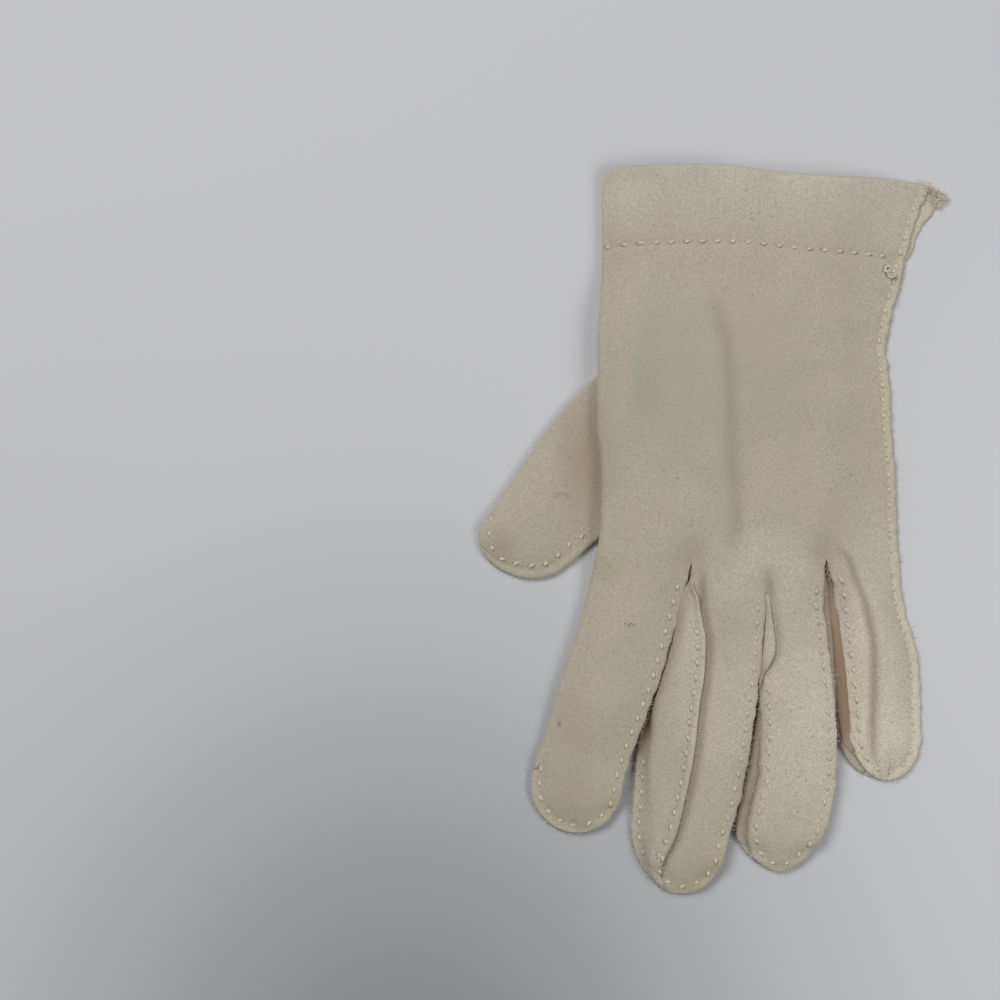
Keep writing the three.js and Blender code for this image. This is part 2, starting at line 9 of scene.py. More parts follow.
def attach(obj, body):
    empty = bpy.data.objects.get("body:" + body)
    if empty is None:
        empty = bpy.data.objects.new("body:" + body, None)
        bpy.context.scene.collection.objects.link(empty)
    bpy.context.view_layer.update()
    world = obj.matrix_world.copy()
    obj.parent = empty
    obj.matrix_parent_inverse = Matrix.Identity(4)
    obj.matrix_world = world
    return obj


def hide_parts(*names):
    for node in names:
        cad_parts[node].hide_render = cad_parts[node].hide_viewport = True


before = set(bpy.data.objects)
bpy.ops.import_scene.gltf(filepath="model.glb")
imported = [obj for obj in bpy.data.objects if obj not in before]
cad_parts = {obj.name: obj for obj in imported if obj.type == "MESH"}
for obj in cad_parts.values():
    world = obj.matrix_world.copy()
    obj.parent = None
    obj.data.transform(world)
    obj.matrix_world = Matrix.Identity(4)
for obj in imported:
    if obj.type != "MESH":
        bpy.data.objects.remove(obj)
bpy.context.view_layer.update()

MM = 0.001
# From the axes of the tables below to the part's frame
SHIFT = np.array([0.48, 0.11, 0.0])

# Cloth and seams
CLOTH = 0.8
HALF = CLOTH / 2
HEM_INWARD = 1.0
HEM_DEPTH = 24.0
ALLOWANCE = 2.6
SEAM_TOP = 1.85
THREE_LAYERS = 2.8
FOLD_HEIGHT = 4.0
FOLD_END_HEIGHT = 2.9
FOLD_END_Y = -76.0
FOLD_ANGLES = math.pi * (0.5 + np.arange(1, 10) / 10)
# Rounding of a raw edge, as shares of the cloth's thickness
EDGE_ROUNDING = 0.16
EDGE_BULGE = 0.3
# Columns of the flange outside a seam, and how far the back's dimples fade on them
FLANGE = np.array([0.3, 0.65, 1.0])
FLANGE_FADE = [0.8, 0.5, 0.2]

# The thumb lies under the palm and lifts it
THUMB_LIFT = 2.95
HOLE = {"x": -7.0, "y": 36.0, "half_width": 11.0, "half_length": 30.5}

# Hand: its edges {y: x}, its crown {y: z} and the line of its cuff {x: y}
HAND_FOLD = {110.7: -34.9, 89: -34.6, 73.2: -35.3, 60.4: -36.3, 41.3: -36.3, 31.8: -36.4, 22.2: -35.3,
    9.5: -35.1, -3.3: -35.8, -9.6: -37.1}
HAND_SEAM = {109: 69.4, 106: 68.3, 102.2: 66.7, 96.8: 64.8, 92: 63.5, 85.1: 61.6, 80.9: 60.6, 77.1: 60,
    73.2: 58.6, 66.9: 57.2, 60.5: 55.9, 57.3: 55.6, 53.8: 56.2, 47.7: 56.7, 41.4: 57.2, 34.7: 57.2,
    28.6: 57.8, 15.2: 58.9, -1: 59.2, -9: 59.8}
PALM_SEAM = {112: 76.2, 106.8: 74.4, 104.6: 73.4, 102: 71.6, 96.9: 67.5, 92.5: 65.6, 88.3: 64.2, 84.5: 62.3,
    77.1: 60.4, 73.2: 58.9, 66.9: 57.4, 57.3: 55.8, 47.7: 56.9, 34.7: 57.4, 28.6: 58, 15.2: 59.1, -1: 59.5,
    -9: 60.1}
HAND_CROWN = {116: 8, 100: 8.8, 80: 9.8, 50: 10.3, 20: 10, 0: 9.2, -10: 8.6}
CUFF_EDGE = {-35: 110.6, -34.1: 112.7, -32.3: 113.8, -29: 114.1, -23: 114.2, -17: 114.4, -4.3: 114.5,
    6.7: 114.1, 14.5: 112.8, 27: 111.5, 43: 110.6, 59.7: 110.1, 66.4: 109.8, 69.6: 109.5}

HAND_ROWS = 108
FOLD_SLOPE = 15.0
SEAM_SLOPE = 25.0
# How far the palm's corner at the open cuff hangs below the line of the cuff
PALM_CORNER_DROP = 1.25

# Crotches between the fingers, and the line through them from side to side
CROTCHES = [(-6.9, -10.2), (16.7, -19.0), (35.5, -9.0)]
CROTCH_LINE = [(-35.1, -10.2)] + CROTCHES + [(57.2, -10.0)]
CROTCH_DIP = 1.3

# Fingers: where the stitches start on the left and on the right, y of the tip and length of its
# rounding, heights, columns of quads, and the edges {y: x} of the back tab and the palm tab
FINGERS = {
    "index": {
        "stitched": (-74, -16), "tip": -96.5, "round": 14.5, "crown": 8.2, "base_edge": 6.4,
        "end_edge": 5.0, "columns": 30,
        "back_left": {-9.6: -37.1, -16: -38.4, -28.7: -41.4, -41.5: -45.5, -54.2: -49.8, -66.9: -53.3,
            -76.5: -56.6, -83: -57.1, -97: -56.4},
        "back_right": {-9.5: -7.3, -15.8: -8.4, -22.1: -10, -34.8: -13.2, -47.4: -16.8, -60: -21.5,
            -70.1: -25.3, -82.9: -28.5, -97: -28.8},
        "palm_right": {-10: -7.7, -22: -11.6, -38: -17.4, -54: -24, -70: -28.6, -82: -29.6, -97: -29.4},
    },
    "middle": {
        "stitched": (-105, -24), "tip": -115.8, "round": 12.5, "crown": 8.4, "base_edge": 6.6,
        "end_edge": 5.0, "columns": 24,
        "back_left": {-10: -6.8, -22: -6.4, -35: -4.6, -41: -4.7, -54: -6.4, -66: -7.8, -79: -10,
            -91.5: -12.9, -98: -15.2, -104: -18.6, -110: -20.5, -116: -21},
        "back_right": {-10: 16.6, -28.4: 16.1, -41.1: 15.4, -53.7: 13.8, -66.4: 12.1, -79: 10, -91.6: 7,
            -98: 4.9, -104.3: 3.8, -116: 2.6},
        "palm_left": {-10: -6.3, -22: -10.8, -38: -16.2, -50: -20.4, -58: -22.1, -63.9: -22.2, -70.3: -23.2,
            -83.1: -24.1, -95.9: -25.1, -103: -23.6, -110: -21.5, -116: -20.8},
        "palm_right": {-10: 17, -22: 14.8, -38: 12.4, -54: 8.6, -70: 4.8, -86: 1.8, -100: 1.5, -108: 2.2,
            -116: 2.4},
    },
    "ring": {
        "stitched": (-44, -16), "tip": -108.9, "round": 13.5, "crown": 8.2, "base_edge": 6.6,
        "end_edge": 5.0, "columns": 22,
        "back_left": {-8: 16.8, -22.1: 17, -53.7: 15.1, -60: 15.4, -72.7: 15.1, -79: 14.8, -85.3: 13.1,
            -91.6: 11.8, -97: 11.2, -103: 11.2, -109: 13.2},
        "back_right": {-9.2: 35, -12.6: 34.5, -15.8: 34.8, -22.1: 34.5, -34.8: 36, -47.4: 37.5, -60: 38.8,
            -69.9: 39.2, -79.5: 38.9, -85.8: 38, -92: 36.8, -97: 35.2, -103: 33, -109: 31},
        "palm_left": {-8: 17.2, -22: 17.4, -38: 17, -54: 14.9, -70: 12.3, -86: 8.9, -92.7: 8, -97: 8.4,
            -103: 9.8, -109: 12.6},
        "palm_right": {-8: 35.2, -22: 35.4, -38: 36.2, -54: 36.2, -70: 34.6, -86: 33.4, -95: 33.6, -103: 32.6,
            -109: 31},
    },
    "little": {
        "stitched": (-14, -12), "tip": -79.6, "round": 12.5, "crown": 7.6, "base_edge": 5.4,
        "end_edge": 3.6, "columns": 34,
        "back_left": {-8: 35.9, -12.6: 36.6, -15.8: 37.9, -22.1: 39.2, -34.8: 41, -47.4: 42.6, -60: 44.1,
            -66.4: 44.7, -72: 45.6, -80: 46},
        "back_right": {-8: 59.7, -17.3: 60.5, -22.4: 61, -28.8: 62.6, -35.2: 64.6, -41.5: 66, -54.3: 66.6,
            -67: 66.8, -80: 66.8},
        "palm_left": {-8: 36, -22: 37.2, -38: 39.4, -54: 41, -62: 41.3, -67: 41.6, -74: 42.5, -80: 43.5},
        "palm_right": {-8: 60.1, -22.4: 61.3, -35.2: 64.7, -41.5: 66, -54.3: 66.6, -67: 66.8, -80: 66.8},
    },
}
# The forefinger's left side is the trank's fold, so back and palm share it
FINGERS["index"]["palm_left"] = FINGERS["index"]["back_left"]
FINGER_ORDER = ["index", "middle", "ring", "little"]
TIP_ANGLES = [6, 12, 18, 24, 30, 36, 42, 48, 54, 60, 66, 71, 76, 80, 84, 87]
TIP_CROWN = 4.6
# Where all tabs are straight across, and the length over which the hand's top turns into theirs
TAB_START = -30.0
FINGER_EASE = 17.0

# Raw edge of the lip that laps over the back of the middle finger, {y: x}
LAP_EDGE = {-11: -5.3, -15.8: -4.7, -22.1: -4.6, -28.4: -3.7, -34.7: -2.5, -41: -2.7, -47.3: -3.2,
    -53.6: -4.2, -60: -5, -66.3: -5.6, -72.6: -6.5, -78.9: -7.6, -85.2: -8.9, -91.5: -10.3, -97.8: -12.2,
    -101: -13.7, -104.1: -15.3, -108.9: -16.4, -114: -14.6}
# The same for the short stretch where the ring finger's edge is folded over its back
FOLDED_EDGE = {-12: 16.5, -17: 16.9, -22.1: 17.3, -26.8: 18, -31.6: 18.8, -34.7: 19.3, -37.9: 19.3, -41: 18.3,
    -43: 17.2, -45: 16, -48: 15.2}
# Soft crease along the back of the little finger, {y: x}
CREASE = {-5.5: 39, -8.5: 42, -12.6: 43.6, -17.4: 45.5, -22.1: 47.4, -28.4: 48.6, -34.8: 49.9, -47.4: 50.6,
    -66.4: 50.5, -74.3: 51.6}
# Step in the back of the hand over the thumb's seam, {y: x}
STEP = {71.9: 0, 65.6: 2.2, 59.4: 3.8, 51.6: 4.7, 40.7: 5.3, 25.1: 5.7, 15.7: 6.3, 3.2: 7.2, -4.6: 6.3}

STEP_HEIGHT = 0.75
# Furrows in the back of the hand: x at a y, slope, width, depth, and over which y they start and end
FURROWS = [(-21, 50, 0.05, 4.0, 0.55, (20, 40), (66, 84)), (-9, 40, 0.1, 5.0, 0.3, (-5, 20), (60, 78))]
# Valleys beside the lapped edges: edge, depth, offset, width, and over which y they start and end
VALLEYS = {"middle": (LAP_EDGE, 0.6, 0.7, 1.5, (-13, -20), (-114, -104)),
           "ring": (FOLDED_EDGE, 0.7, 0.8, 1.8, (-15, -24), (-49, -43))}
# Walls under the lapped edges: edge, over which -y the lap rises and falls, how far the wall bulges up,
# and how far it reaches under the neighbouring finger's edge
LAPS = {"middle": (LAP_EDGE, (11, 26), (120, 121), 1.0, 3.2),
        "ring": (FOLDED_EDGE, (13, 21), (46, 51), 0.2, 1.2)}
# How late a lapped wall drops from the lip to the palm: 1 is straight, more is later
LAP_DROP = 1.45
# Share of each gap between two fingers that its side walls belly out to fill, and their widest bellies
GAP_FILL = [0.0, 0.8, 0.94]
WIDEST_BELLY = 4.4
WIDEST_INNER_BELLY = 5.6
# How far down a side wall bellies out most: 1 is half way, more is lower
BELLY_LOW = 1.5
# How far a fourchette's turn at the crotch swings out
CROTCH_SWING = 0.54
# A fourchette's section in shares of its upper edge, its web and its lower edge
EDGE_PART, WEB_PART, END_PART = np.linspace(0, 1, 9), np.linspace(0, 1, 20)[1:-1], np.linspace(0, 1, 7)
# Lines of painted shade by the creases, the lapped and folded edges and the step: line {y: x}, offset, width,
# strength, and over which y they start and end
PAINTED_SHADE_LINES = [
    (CREASE, 0.3, 1.2, 0.7, (-78, -68), (-3, -9)), (LAP_EDGE, 1.2, 1.4, 0.85, (-112, -100), (-9, -18)),
    (FINGERS["ring"]["back_left"], 0.0, 0.9, 0.6, (-121, -120), (-20, -30)),
    (FOLDED_EDGE, 0.9, 1.4, 0.5, (-48, -42), (-6, -20)), (STEP, -0.6, 2.4, 0.36, (-16, 4), (78, 60)),
]

# Stitches, and the needle holes beside them, drawn as dark beads of painted shade
STITCH_STEP = 4.8
SEAM_INSET = 2.5
DIMPLE_RADIUS = 0.9
DIMPLE_DEPTH = 0.28
DIMPLE_REACH = 2.6
THUMB_DIMPLE_DEPTH = 0.25
STITCH_LENGTH = 1.75
STITCH_RADIUS = 0.5
STITCH_RISE = 0.2
HOLE_APART = 1.1
HOLE_LENGTH = 0.55
HOLE_RADIUS = 0.24
SLANT = 0.35
HEM_SLANT = 0.25
THUMB_SLANT = 0.4
# Along the hem, rows of (x, y)
HEM_ROW = [(-32.6, 89.6), (-22, 89.8), (-5, 90.4), (8, 90.4), (20, 88.9), (35, 87.5), (52, 86.6),
    (57.6, 86.7)]
# Along the thumb's seam
THUMB_ROW = [(-69.6, 4.5), (-70.2, 1.9), (-70.7, -2.9), (-69.1, -6.9), (-66.2, -9.5), (-59.7, -11.2),
    (-54.4, -11.6), (-50.6, -10), (-44.2, -4), (-37.4, 0.1)]
# Thumb: rows of (place, fold x, fold y, seam x, seam y, height) from the tip to the palm
THUMB = [
    (0.0, -73.6, -1.7, -73.5, -4.6, 1.9), (2.0, -73.3, 0.9, -72.3, -7.3, 2.4),
    (4.0, -72.3, 2.8, -70.4, -9.6, 2.9), (7.0, -70.1, 5.5, -67.7, -12.0, 3.5),
    (11.0, -67.0, 9.8, -63.7, -13.9, 4.1), (16.0, -63.7, 14.4, -60.0, -15.1, 4.5),
    (22.0, -60.7, 18.9, -55.6, -15.3, 4.7), (28.0, -57.5, 23.6, -51.1, -14.4, 4.7),
    (34.0, -54.3, 28.2, -47.9, -12.6, 4.6), (40.0, -51.1, 32.5, -44.7, -10.2, 4.2),
    (48.0, -44.7, 40.4, -39.0, -5.4, 3.2), (56.0, -38.3, 47.2, -34.5, -1.8, 2.6),
    (66.0, -28.4, 57.0, -22.8, 5.4, 2.5),
]
THUMB_COLUMNS = 34
THUMB_BASE_ROWS = 14
THUMB_FOLD_HEIGHT = 2.3


def curve(table, at):
    """A smooth curve without overshoot through a table {key: value}."""
    k, v = np.array(sorted(table.items()), dtype=float).T
    h = np.diff(k)
    d = np.diff(v) / h
    m = np.zeros_like(v)
    m[0], m[-1] = d[0], d[-1]
    same = d[:-1] * d[1:] > 0
    w1 = 2 * h[1:] + h[:-1]
    w2 = h[1:] + 2 * h[:-1]
    before, after = (np.where(same, slope, 1.0) for slope in (d[:-1], d[1:]))
    m[1:-1] = np.where(same, (w1 + w2) / (w1 / before + w2 / after), 0.0)
    at = np.clip(np.asarray(at, dtype=float), k[0], k[-1])
    i = np.clip(np.searchsorted(k, at, side="right") - 1, 0, len(k) - 2)
    t = (at - k[i]) / h[i]
    return (v[i] * (1 + 2 * t) * (1 - t) ** 2 + m[i] * h[i] * t * (1 - t) ** 2
            + v[i + 1] * t * t * (3 - 2 * t) + m[i + 1] * h[i] * t * t * (t - 1))


def smoothstep(low, high, at):
    t = np.clip((np.asarray(at, dtype=float) - low) / (high - low), 0, 1)
    return t * t * (3 - 2 * t)


def mix(a, b, t):
    return a + (b - a) * t


def waves(seed, x, y, shortest, longest, count=9):
    """Smooth irregular waves of height about 1 over the plane."""
    rng = np.random.default_rng(seed)
    total = 0.0
    for _ in range(count):
        length = math.exp(rng.uniform(math.log(shortest), math.log(longest)))
        angle = rng.uniform(0, 2 * math.pi)
        phase = rng.uniform(0, 2 * math.pi)
        total = total + np.sin((x * math.cos(angle) + y * math.sin(angle)) * 2 * math.pi / length + phase)
    return total / math.sqrt(count / 2)


def cut_edge(seed, y):
    """Small unevenness of an edge cut by hand."""
    return 0.16 * waves(seed, y, y * 0, 3, 9)


def beside(table, offset, width, x, y):
    """1 along a line {y: x}, moved over by offset, falling off within width to both sides."""
    return np.exp(-((x - curve(table, y) - offset) / width) ** 2)


def lift_at(x, y):
    """Height of the palm's underside, raised by the thumb."""
    lower = -5 + 0.38 * (x + 35)
    return (THUMB_LIFT * (1 - smoothstep(-8, 24, x)) * smoothstep(lower - 13, lower, y)
            * (1 - smoothstep(64, 86, y)))


def fold_height(y):
    return mix(FOLD_END_HEIGHT, FOLD_HEIGHT, smoothstep(FOLD_END_Y, -30, y))


def relief(x, y):
    """Marks pressed into the back of the hand."""
    line = curve(STEP, y)
    ends = smoothstep(-14, 4, y) * (1 - smoothstep(62, 82, y))
    z = STEP_HEIGHT * ends * smoothstep(line - 26, line - 3, x) / (1 + np.exp(x - line))
    for at_x, at_y, slope, width, depth, start, end in FURROWS:
        furrow = np.exp(-((x - at_x - slope * (y - at_y)) / width) ** 2)
        z = z - depth * furrow * smoothstep(*start, y) * (1 - smoothstep(*end, y))
    for cx, cy in CROTCHES:
        z = z - CROTCH_DIP * np.exp(-((x - cx) ** 2 + (y - cy - 1.5) ** 2) / 6.0 ** 2)
    return z + 0.16 * waves(3, x, y, 14, 60)


def hand_top(x, y):
    """Upper surface of the back of the hand."""
    crown = curve(HAND_CROWN, y)
    fold = curve(HAND_FOLD, y)
    seam = curve(HAND_SEAM, y) - ALLOWANCE
    left_z = lift_at(fold, y) + FOLD_HEIGHT
    right_z = lift_at(seam, y) + SEAM_TOP
    a = np.clip(1 - (x - fold - FOLD_HEIGHT / 2) / FOLD_SLOPE, 0, 1)
    b = np.clip(1 - (seam - x) / SEAM_SLOPE, 0, 1)
    inside = np.clip((x - fold) / 12, 0, 1) * np.clip((seam + ALLOWANCE - x) / 12, 0, 1)
    return crown - (crown - left_z) * a ** 2.2 - (crown - right_z) * b ** 1.8 + relief(x, y) * inside


def tab_lines(name, side, y):
    """Left and right line of a finger's tab, before the tip is rounded."""
    return [curve(FINGERS[name][side + end], y) for end in ("_left", "_right")]


def into_tip(name, y, inset=0.0):
    """0 up to where the tip's rounding starts, 1 at the tip."""
    f = FINGERS[name]
    return np.clip((f["tip"] + f["round"] - y) / (f["round"] - inset), 0, 1)


def finger_edges(name, side, y, inset=0.0):
    """Left and right edge of a finger's tab, rounded in at the tip, or lines inside them by inset."""
    left, right = tab_lines(name, side, y)
    half = ((right - left) / 2 - inset) * np.sqrt(1 - into_tip(name, y, inset) ** 2)
    return (left + right) / 2 - half, (left + right) / 2 + half


def finger_top(name, x, y):
    """Upper surface of a finger's back tab."""
    f = FINGERS[name]
    left, right = tab_lines(name, "back", y)
    half = (right - left) / 2
    across = (x - (left + right) / 2) / half
    into = into_tip(name, y)
    from_tip = y - f["tip"]
    crown = mix(TIP_CROWN, f["crown"], smoothstep(4, 46, from_tip))
    edge = mix(f["end_edge"], f["base_edge"], smoothstep(20, 80, from_tip))
    flange = ALLOWANCE / half
    edge_z, reach = [edge, edge], [1.0, 1.0]
    if name == "index":
        folded = smoothstep(FOLD_END_Y - 4, FOLD_END_Y + 6, y)
        edge_z[0] = mix(SEAM_TOP, lift_at(left, y) + fold_height(y), folded)
        reach[0] = mix(1 - flange, 1 - fold_height(y) / 2 / half, folded)
    if name == "little":
        edge_z[1] = SEAM_TOP
        reach[1] = 1 - flange
    at_tip = smoothstep(0.0, 0.6, into)
    three = mix(THREE_LAYERS, SEAM_TOP, smoothstep(0.75, 1.0, into))
    seam = [SEAM_TOP if name == outer else three for outer in ("index", "little")]
    on_left = across < 0
    reach = np.where(on_left, *(mix(r, 1 - flange, at_tip) for r in reach))
    side_z = np.where(on_left, *(mix(z, s, at_tip) for z, s in zip(edge_z, seam)))
    around = np.sqrt((across / reach) ** 2 + (into / (1 - ALLOWANCE / f["round"])) ** 2)
    fall = np.where((name == "little") & (across > 0), 1.9, 2.3)
    z = crown - (crown - side_z) * np.clip(around, 0, 1) ** fall
    if name == "little":
        ends = smoothstep(-76, -66, y)
        z = z - ends * (beside(CREASE, 0, 1.9, x, y) + 0.6 * beside(CREASE, 0, 1.1, x, y))
        z = z - 0.9 * ends * np.clip((curve(CREASE, y) - x) / 7, 0, 1)
    if name in VALLEYS:
        edge, depth, offset, width, start, end = VALLEYS[name]
        z = z - depth * (smoothstep(*start, y) * smoothstep(*end, y)) * beside(edge, offset, width, x, y)
    return np.maximum(z + 0.08 * waves(5, x, y, 9, 30), mix(1.0, np.where(on_left, *seam), at_tip))


def finger_z(name, x, y):
    """Upper surface of a finger, turning into that of the hand at the crotch line."""
    line = np.interp(x, *zip(*CROTCH_LINE))
    return mix(hand_top(x, y), finger_top(name, x, y), smoothstep(0, FINGER_EASE, line - y))


def hole_radius(points):
    """Distance from the middle of the thumb's oval, 1 at its rim; points of the back are far off."""
    r = np.hypot((points[:, 0] - HOLE["x"]) / HOLE["half_width"],
                 (points[:, 1] - HOLE["y"]) / HOLE["half_length"])
    return np.where(points[:, 2] < 5.2, r, 9.0)


# Places and outward directions along the cloth's raw edges, gathered for the fuzz
raw_edges = []


class Sheet:
    """A sheet of quads over a middle surface, thickened both ways with rounded raw edges."""

    def __init__(self):
        self.points = []
        self.inward = []
        self.quads = []
        self.count = 0

    def row(self, x, y, z, inward=HALF):
        x, y, z, inward = np.broadcast_arrays(*(np.asarray(v, dtype=float) for v in (x, y, z, inward)))
        ids = np.arange(self.count, self.count + len(x))
        self.points.append(np.stack([x, y, z], axis=1))
        self.inward.append(inward)
        self.count += len(x)
        return ids

    def join(self, first, second):
        """Quads between two rows, the first of which may be missing; hands back the second."""
        if first is not None:
            self.quads.append(np.stack([first[:-1], first[1:], second[1:], second[:-1]], axis=1))
        return second

    def solid(self, with_oval=False):
        points = np.concatenate(self.points)
        inward = np.concatenate(self.inward)
        quads = np.concatenate(self.quads)
        if with_oval:
            radius = hole_radius(points)
            quads = quads[~(radius < 1)[quads].all(axis=1)]
            rim = np.zeros(len(points), dtype=bool)
            rim[np.unique(quads)] = True
            rim &= radius < 1
            middle = np.array([HOLE["x"], HOLE["y"]])
            points[rim, :2] = middle + (points[rim, :2] - middle) / np.maximum(radius[rim], 0.05)[:, None]
        normals = np.zeros_like(points)
        corners = points[quads]
        face = np.cross(corners[:, 2] - corners[:, 0], corners[:, 3] - corners[:, 1])
        for k in range(4):
            np.add.at(normals, quads[:, k], face)
        normals /= np.maximum(np.linalg.norm(normals, axis=1, keepdims=True), 1e-9)
        directed = np.concatenate([quads[:, [k, (k + 1) % 4]] for k in range(4)])
        n = len(points)
        rim = directed[~np.isin(directed[:, 0] * n + directed[:, 1], directed[:, 1] * n + directed[:, 0])]
        outward = np.zeros_like(points)
        away = np.cross(points[rim[:, 1]] - points[rim[:, 0]], normals[rim[:, 0]])
        for k in range(2):
            np.add.at(outward, rim[:, k], away)
        length = np.linalg.norm(outward, axis=1, keepdims=True)
        outward = np.where(length > 1e-9, outward / np.maximum(length, 1e-9), 0)
        top = points + normals * HALF
        low = points - normals * inward[:, None]
        ids = np.unique(rim)
        mid_of = np.full(n, -1)
        mid_of[ids] = np.arange(len(ids)) + 2 * n
        thick = (HALF + inward[ids])[:, None]
        centre = (top[ids] + low[ids]) / 2
        top[ids] -= normals[ids] * thick * EDGE_ROUNDING
        low[ids] += normals[ids] * thick * EDGE_ROUNDING
        middle = centre + outward[ids] * thick * EDGE_BULGE
        raw_edges.append(np.concatenate([middle, outward[ids]], axis=1))
        a, b = rim[:, 0], rim[:, 1]
        faces = np.concatenate([
            quads,
            quads[:, ::-1] + n,
            np.stack([b, a, mid_of[a], mid_of[b]], axis=1),
            np.stack([mid_of[b], mid_of[a], a + n, b + n], axis=1),
        ])
        used, faces_of_used = np.unique(faces, return_inverse=True)
        return facing_out(np.concatenate([top, low, middle])[used], faces_of_used.reshape(faces.shape))


def facing_out(vertices, faces):
    a, b, c, d = (vertices[faces[:, k]] for k in range(4))
    volume = (a * (np.cross(b, c) + np.cross(c, d))).sum()
    return vertices, faces[:, ::-1] if volume < 0 else faces


def painted_shade(x, y, z):
    """Painted shade in the creases, beside the lapped and folded edges, along the step and round the
    crotches, 0 to 1.
    """
    dark = 0
    for table, offset, width, strength, start, end in PAINTED_SHADE_LINES:
        shade_line = strength * beside(table, offset, width, x, y)
        dark = dark + shade_line * smoothstep(*start, y) * smoothstep(*end, y)
    for cx, cy in CROTCHES:
        dark = dark + 0.35 * np.exp(-((x - cx) ** 2 + (y - cy - 1) ** 2) / 5.0 ** 2)
    return np.clip(dark * smoothstep(2.6, 3.6, z - lift_at(x, y)), 0, 1)


def slit_painted_shade(x, y, z):
    """Painted shade on the wall of the middle finger, beside the forefinger's edge, 0 to 1."""
    return 0.5 * beside(FINGERS["index"]["back_right"], 0.9, 2.1, x, y) * smoothstep(-8, -16, y)


def gap_painted_shade(gap, start, end):
    """Painted shade on the walls between two fingers, 0 to 1, darkest beside their edges."""
    def shade(x, y, z):
        a = curve(FINGERS[FINGER_ORDER[gap]]["back_right"], y)
        b = curve(FINGERS[FINGER_ORDER[gap + 1]]["back_left"], y)
        away = np.abs(x - (a + b) / 2) / ((b - a) / 2 + 0.5)
        within = smoothstep(start + 2, start - 4, y) * smoothstep(end - 6, end + 4, y)
        return within * smoothstep(1.7, 1.1, away) * (0.55 + 0.4 * np.exp(-((away - 1) / 0.3) ** 2))
    return shade


# Painted shade for the walls of the three fourchettes
GAP_PAINTED_SHADE = [slit_painted_shade, gap_painted_shade(1, -42, -96), gap_painted_shade(2, -10, -64)]


def placed(name, data):
    """A new object in the scene."""
    thing = bpy.data.objects.new(name, data)
    bpy.context.scene.collection.objects.link(thing)
    return thing


def add_mesh(name, vertices, faces, material, slot="cotton", node=None, painted_shade_at=None):
    mesh = bpy.data.meshes.new(name)
    mesh.from_pydata(((vertices + SHIFT) * MM).tolist(), [], [list(map(int, f)) for f in faces])
    mesh.update()
    if painted_shade_at:
        # Per-point strength of the painted shade, kept as an attribute for the material
        dark = mesh.attributes.new("painted_shade", "FLOAT", "POINT")
        dark.data.foreach_set("value", painted_shade_at(*vertices.T).astype(np.float32))
    mesh.polygons.foreach_set("use_smooth", [True] * len(mesh.polygons))
    mesh.materials.append(material)
    piece = placed(name, mesh)
    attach(piece, "root")
    if node:
        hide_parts(node)


def along_path(path, first=2.0):
    """Places and directions of the stitches along a path of points."""
    path = np.asarray(path)
    travelled = np.concatenate([[0], np.cumsum(np.linalg.norm(np.diff(path, axis=0), axis=1))])

    def place(at):
        return np.stack([np.interp(at, travelled, path[:, k]) for k in (0, 1)], axis=1)

    at = np.arange(first, travelled[-1], STITCH_STEP)
    ahead = place(at + 0.5) - place(at - 0.5)
    return place(at), ahead / np.maximum(np.linalg.norm(ahead, axis=1, keepdims=True), 1e-6)


def tip_path(name, start_left, start_right):
    """A path inside the edges of a finger's back tab, from one side round the tip to the other."""
    f = FINGERS[name]
    base = f["tip"] + f["round"]
    around = base - (f["round"] - SEAM_INSET) * np.sin(np.linspace(0, math.pi / 2, 16))
    sides = []
    for k, start in enumerate((start_left, start_right)):
        y = np.append(np.linspace(start, base, 20)[:-1], around)
        sides.append(np.stack([finger_edges(name, "back", y, SEAM_INSET)[k], y], axis=1))
    return np.append(sides[0], sides[1][-2::-1], axis=0)


# Rows of stitches, as places and directions: first those that show on the back, then the lip's, the
# palm's and the thumb's
side_y, lap_y, palm_y = np.linspace(104, -9, 160), np.linspace(-30, -106, 80), np.linspace(-72, -106, 50)
stitch_rows = [along_path(HEM_ROW, 0.0)]
stitch_rows += [along_path(tip_path(name, *FINGERS[name]["stitched"])) for name in FINGER_ORDER]
stitch_rows.append(along_path(np.stack([curve(HAND_SEAM, side_y) - 2.1, side_y], axis=1)))
back_places = np.concatenate([places for places, ahead in stitch_rows])
stitch_rows.append(along_path(np.stack([curve(LAP_EDGE, lap_y) - 2.4, lap_y], axis=1)))
stitch_rows.append(along_path(np.stack([finger_edges("middle", "palm", palm_y)[0] + 2.2, palm_y], axis=1)))
stitch_rows.append(along_path(THUMB_ROW, 1.0))
row_slants = [HEM_SLANT] + [SLANT] * (len(stitch_rows) - 2) + [THUMB_SLANT]
thumb_places = stitch_rows[-1][0]


def dimples(places, depth, x, y, reach=np.inf):
    """Small hollows in the cloth round the stitches."""
    dx, dy = (np.subtract.outer(v, places[:, k]) for k, v in enumerate((x, y)))
    hollows = np.exp(-(dx ** 2 + dy ** 2) / DIMPLE_RADIUS ** 2) * (np.abs(dy) < reach)
    return -depth * hollows.sum(axis=1)


def back_dimples(x, y):
    return dimples(back_places, DIMPLE_DEPTH, x, y, DIMPLE_REACH)


def groove(x, y):
    """The hem's step and the shallow trough along its stitches."""
    row = np.interp(x, *zip(*HEM_ROW))
    return 0.35 * smoothstep(-1.2, 1.2, y - row) - 0.22 * np.exp(-((y - row) / 1.1) ** 2)


def hand_columns():
    """Where the hand's columns meet the crotch line, as x and y, and how far across the hand, 0 to 1."""
    start = curve(HAND_FOLD, -9.6) + FOLD_HEIGHT / 2
    end = curve(HAND_SEAM, -9.0) - ALLOWANCE
    marks = np.array([(start, CROTCHES[0][1])] + CROTCHES + [(end, CROTCHES[2][1] - 1)])
    columns = [marks[:1]]
    for a, b, name in zip(marks, marks[1:], FINGER_ORDER):
        count = FINGERS[name]["columns"]
        columns.append(mix(a, b, np.arange(1, count + 1)[:, None] / count))
    xs, ys = np.concatenate(columns).T
    return xs, ys, (xs - start) / (end - start)


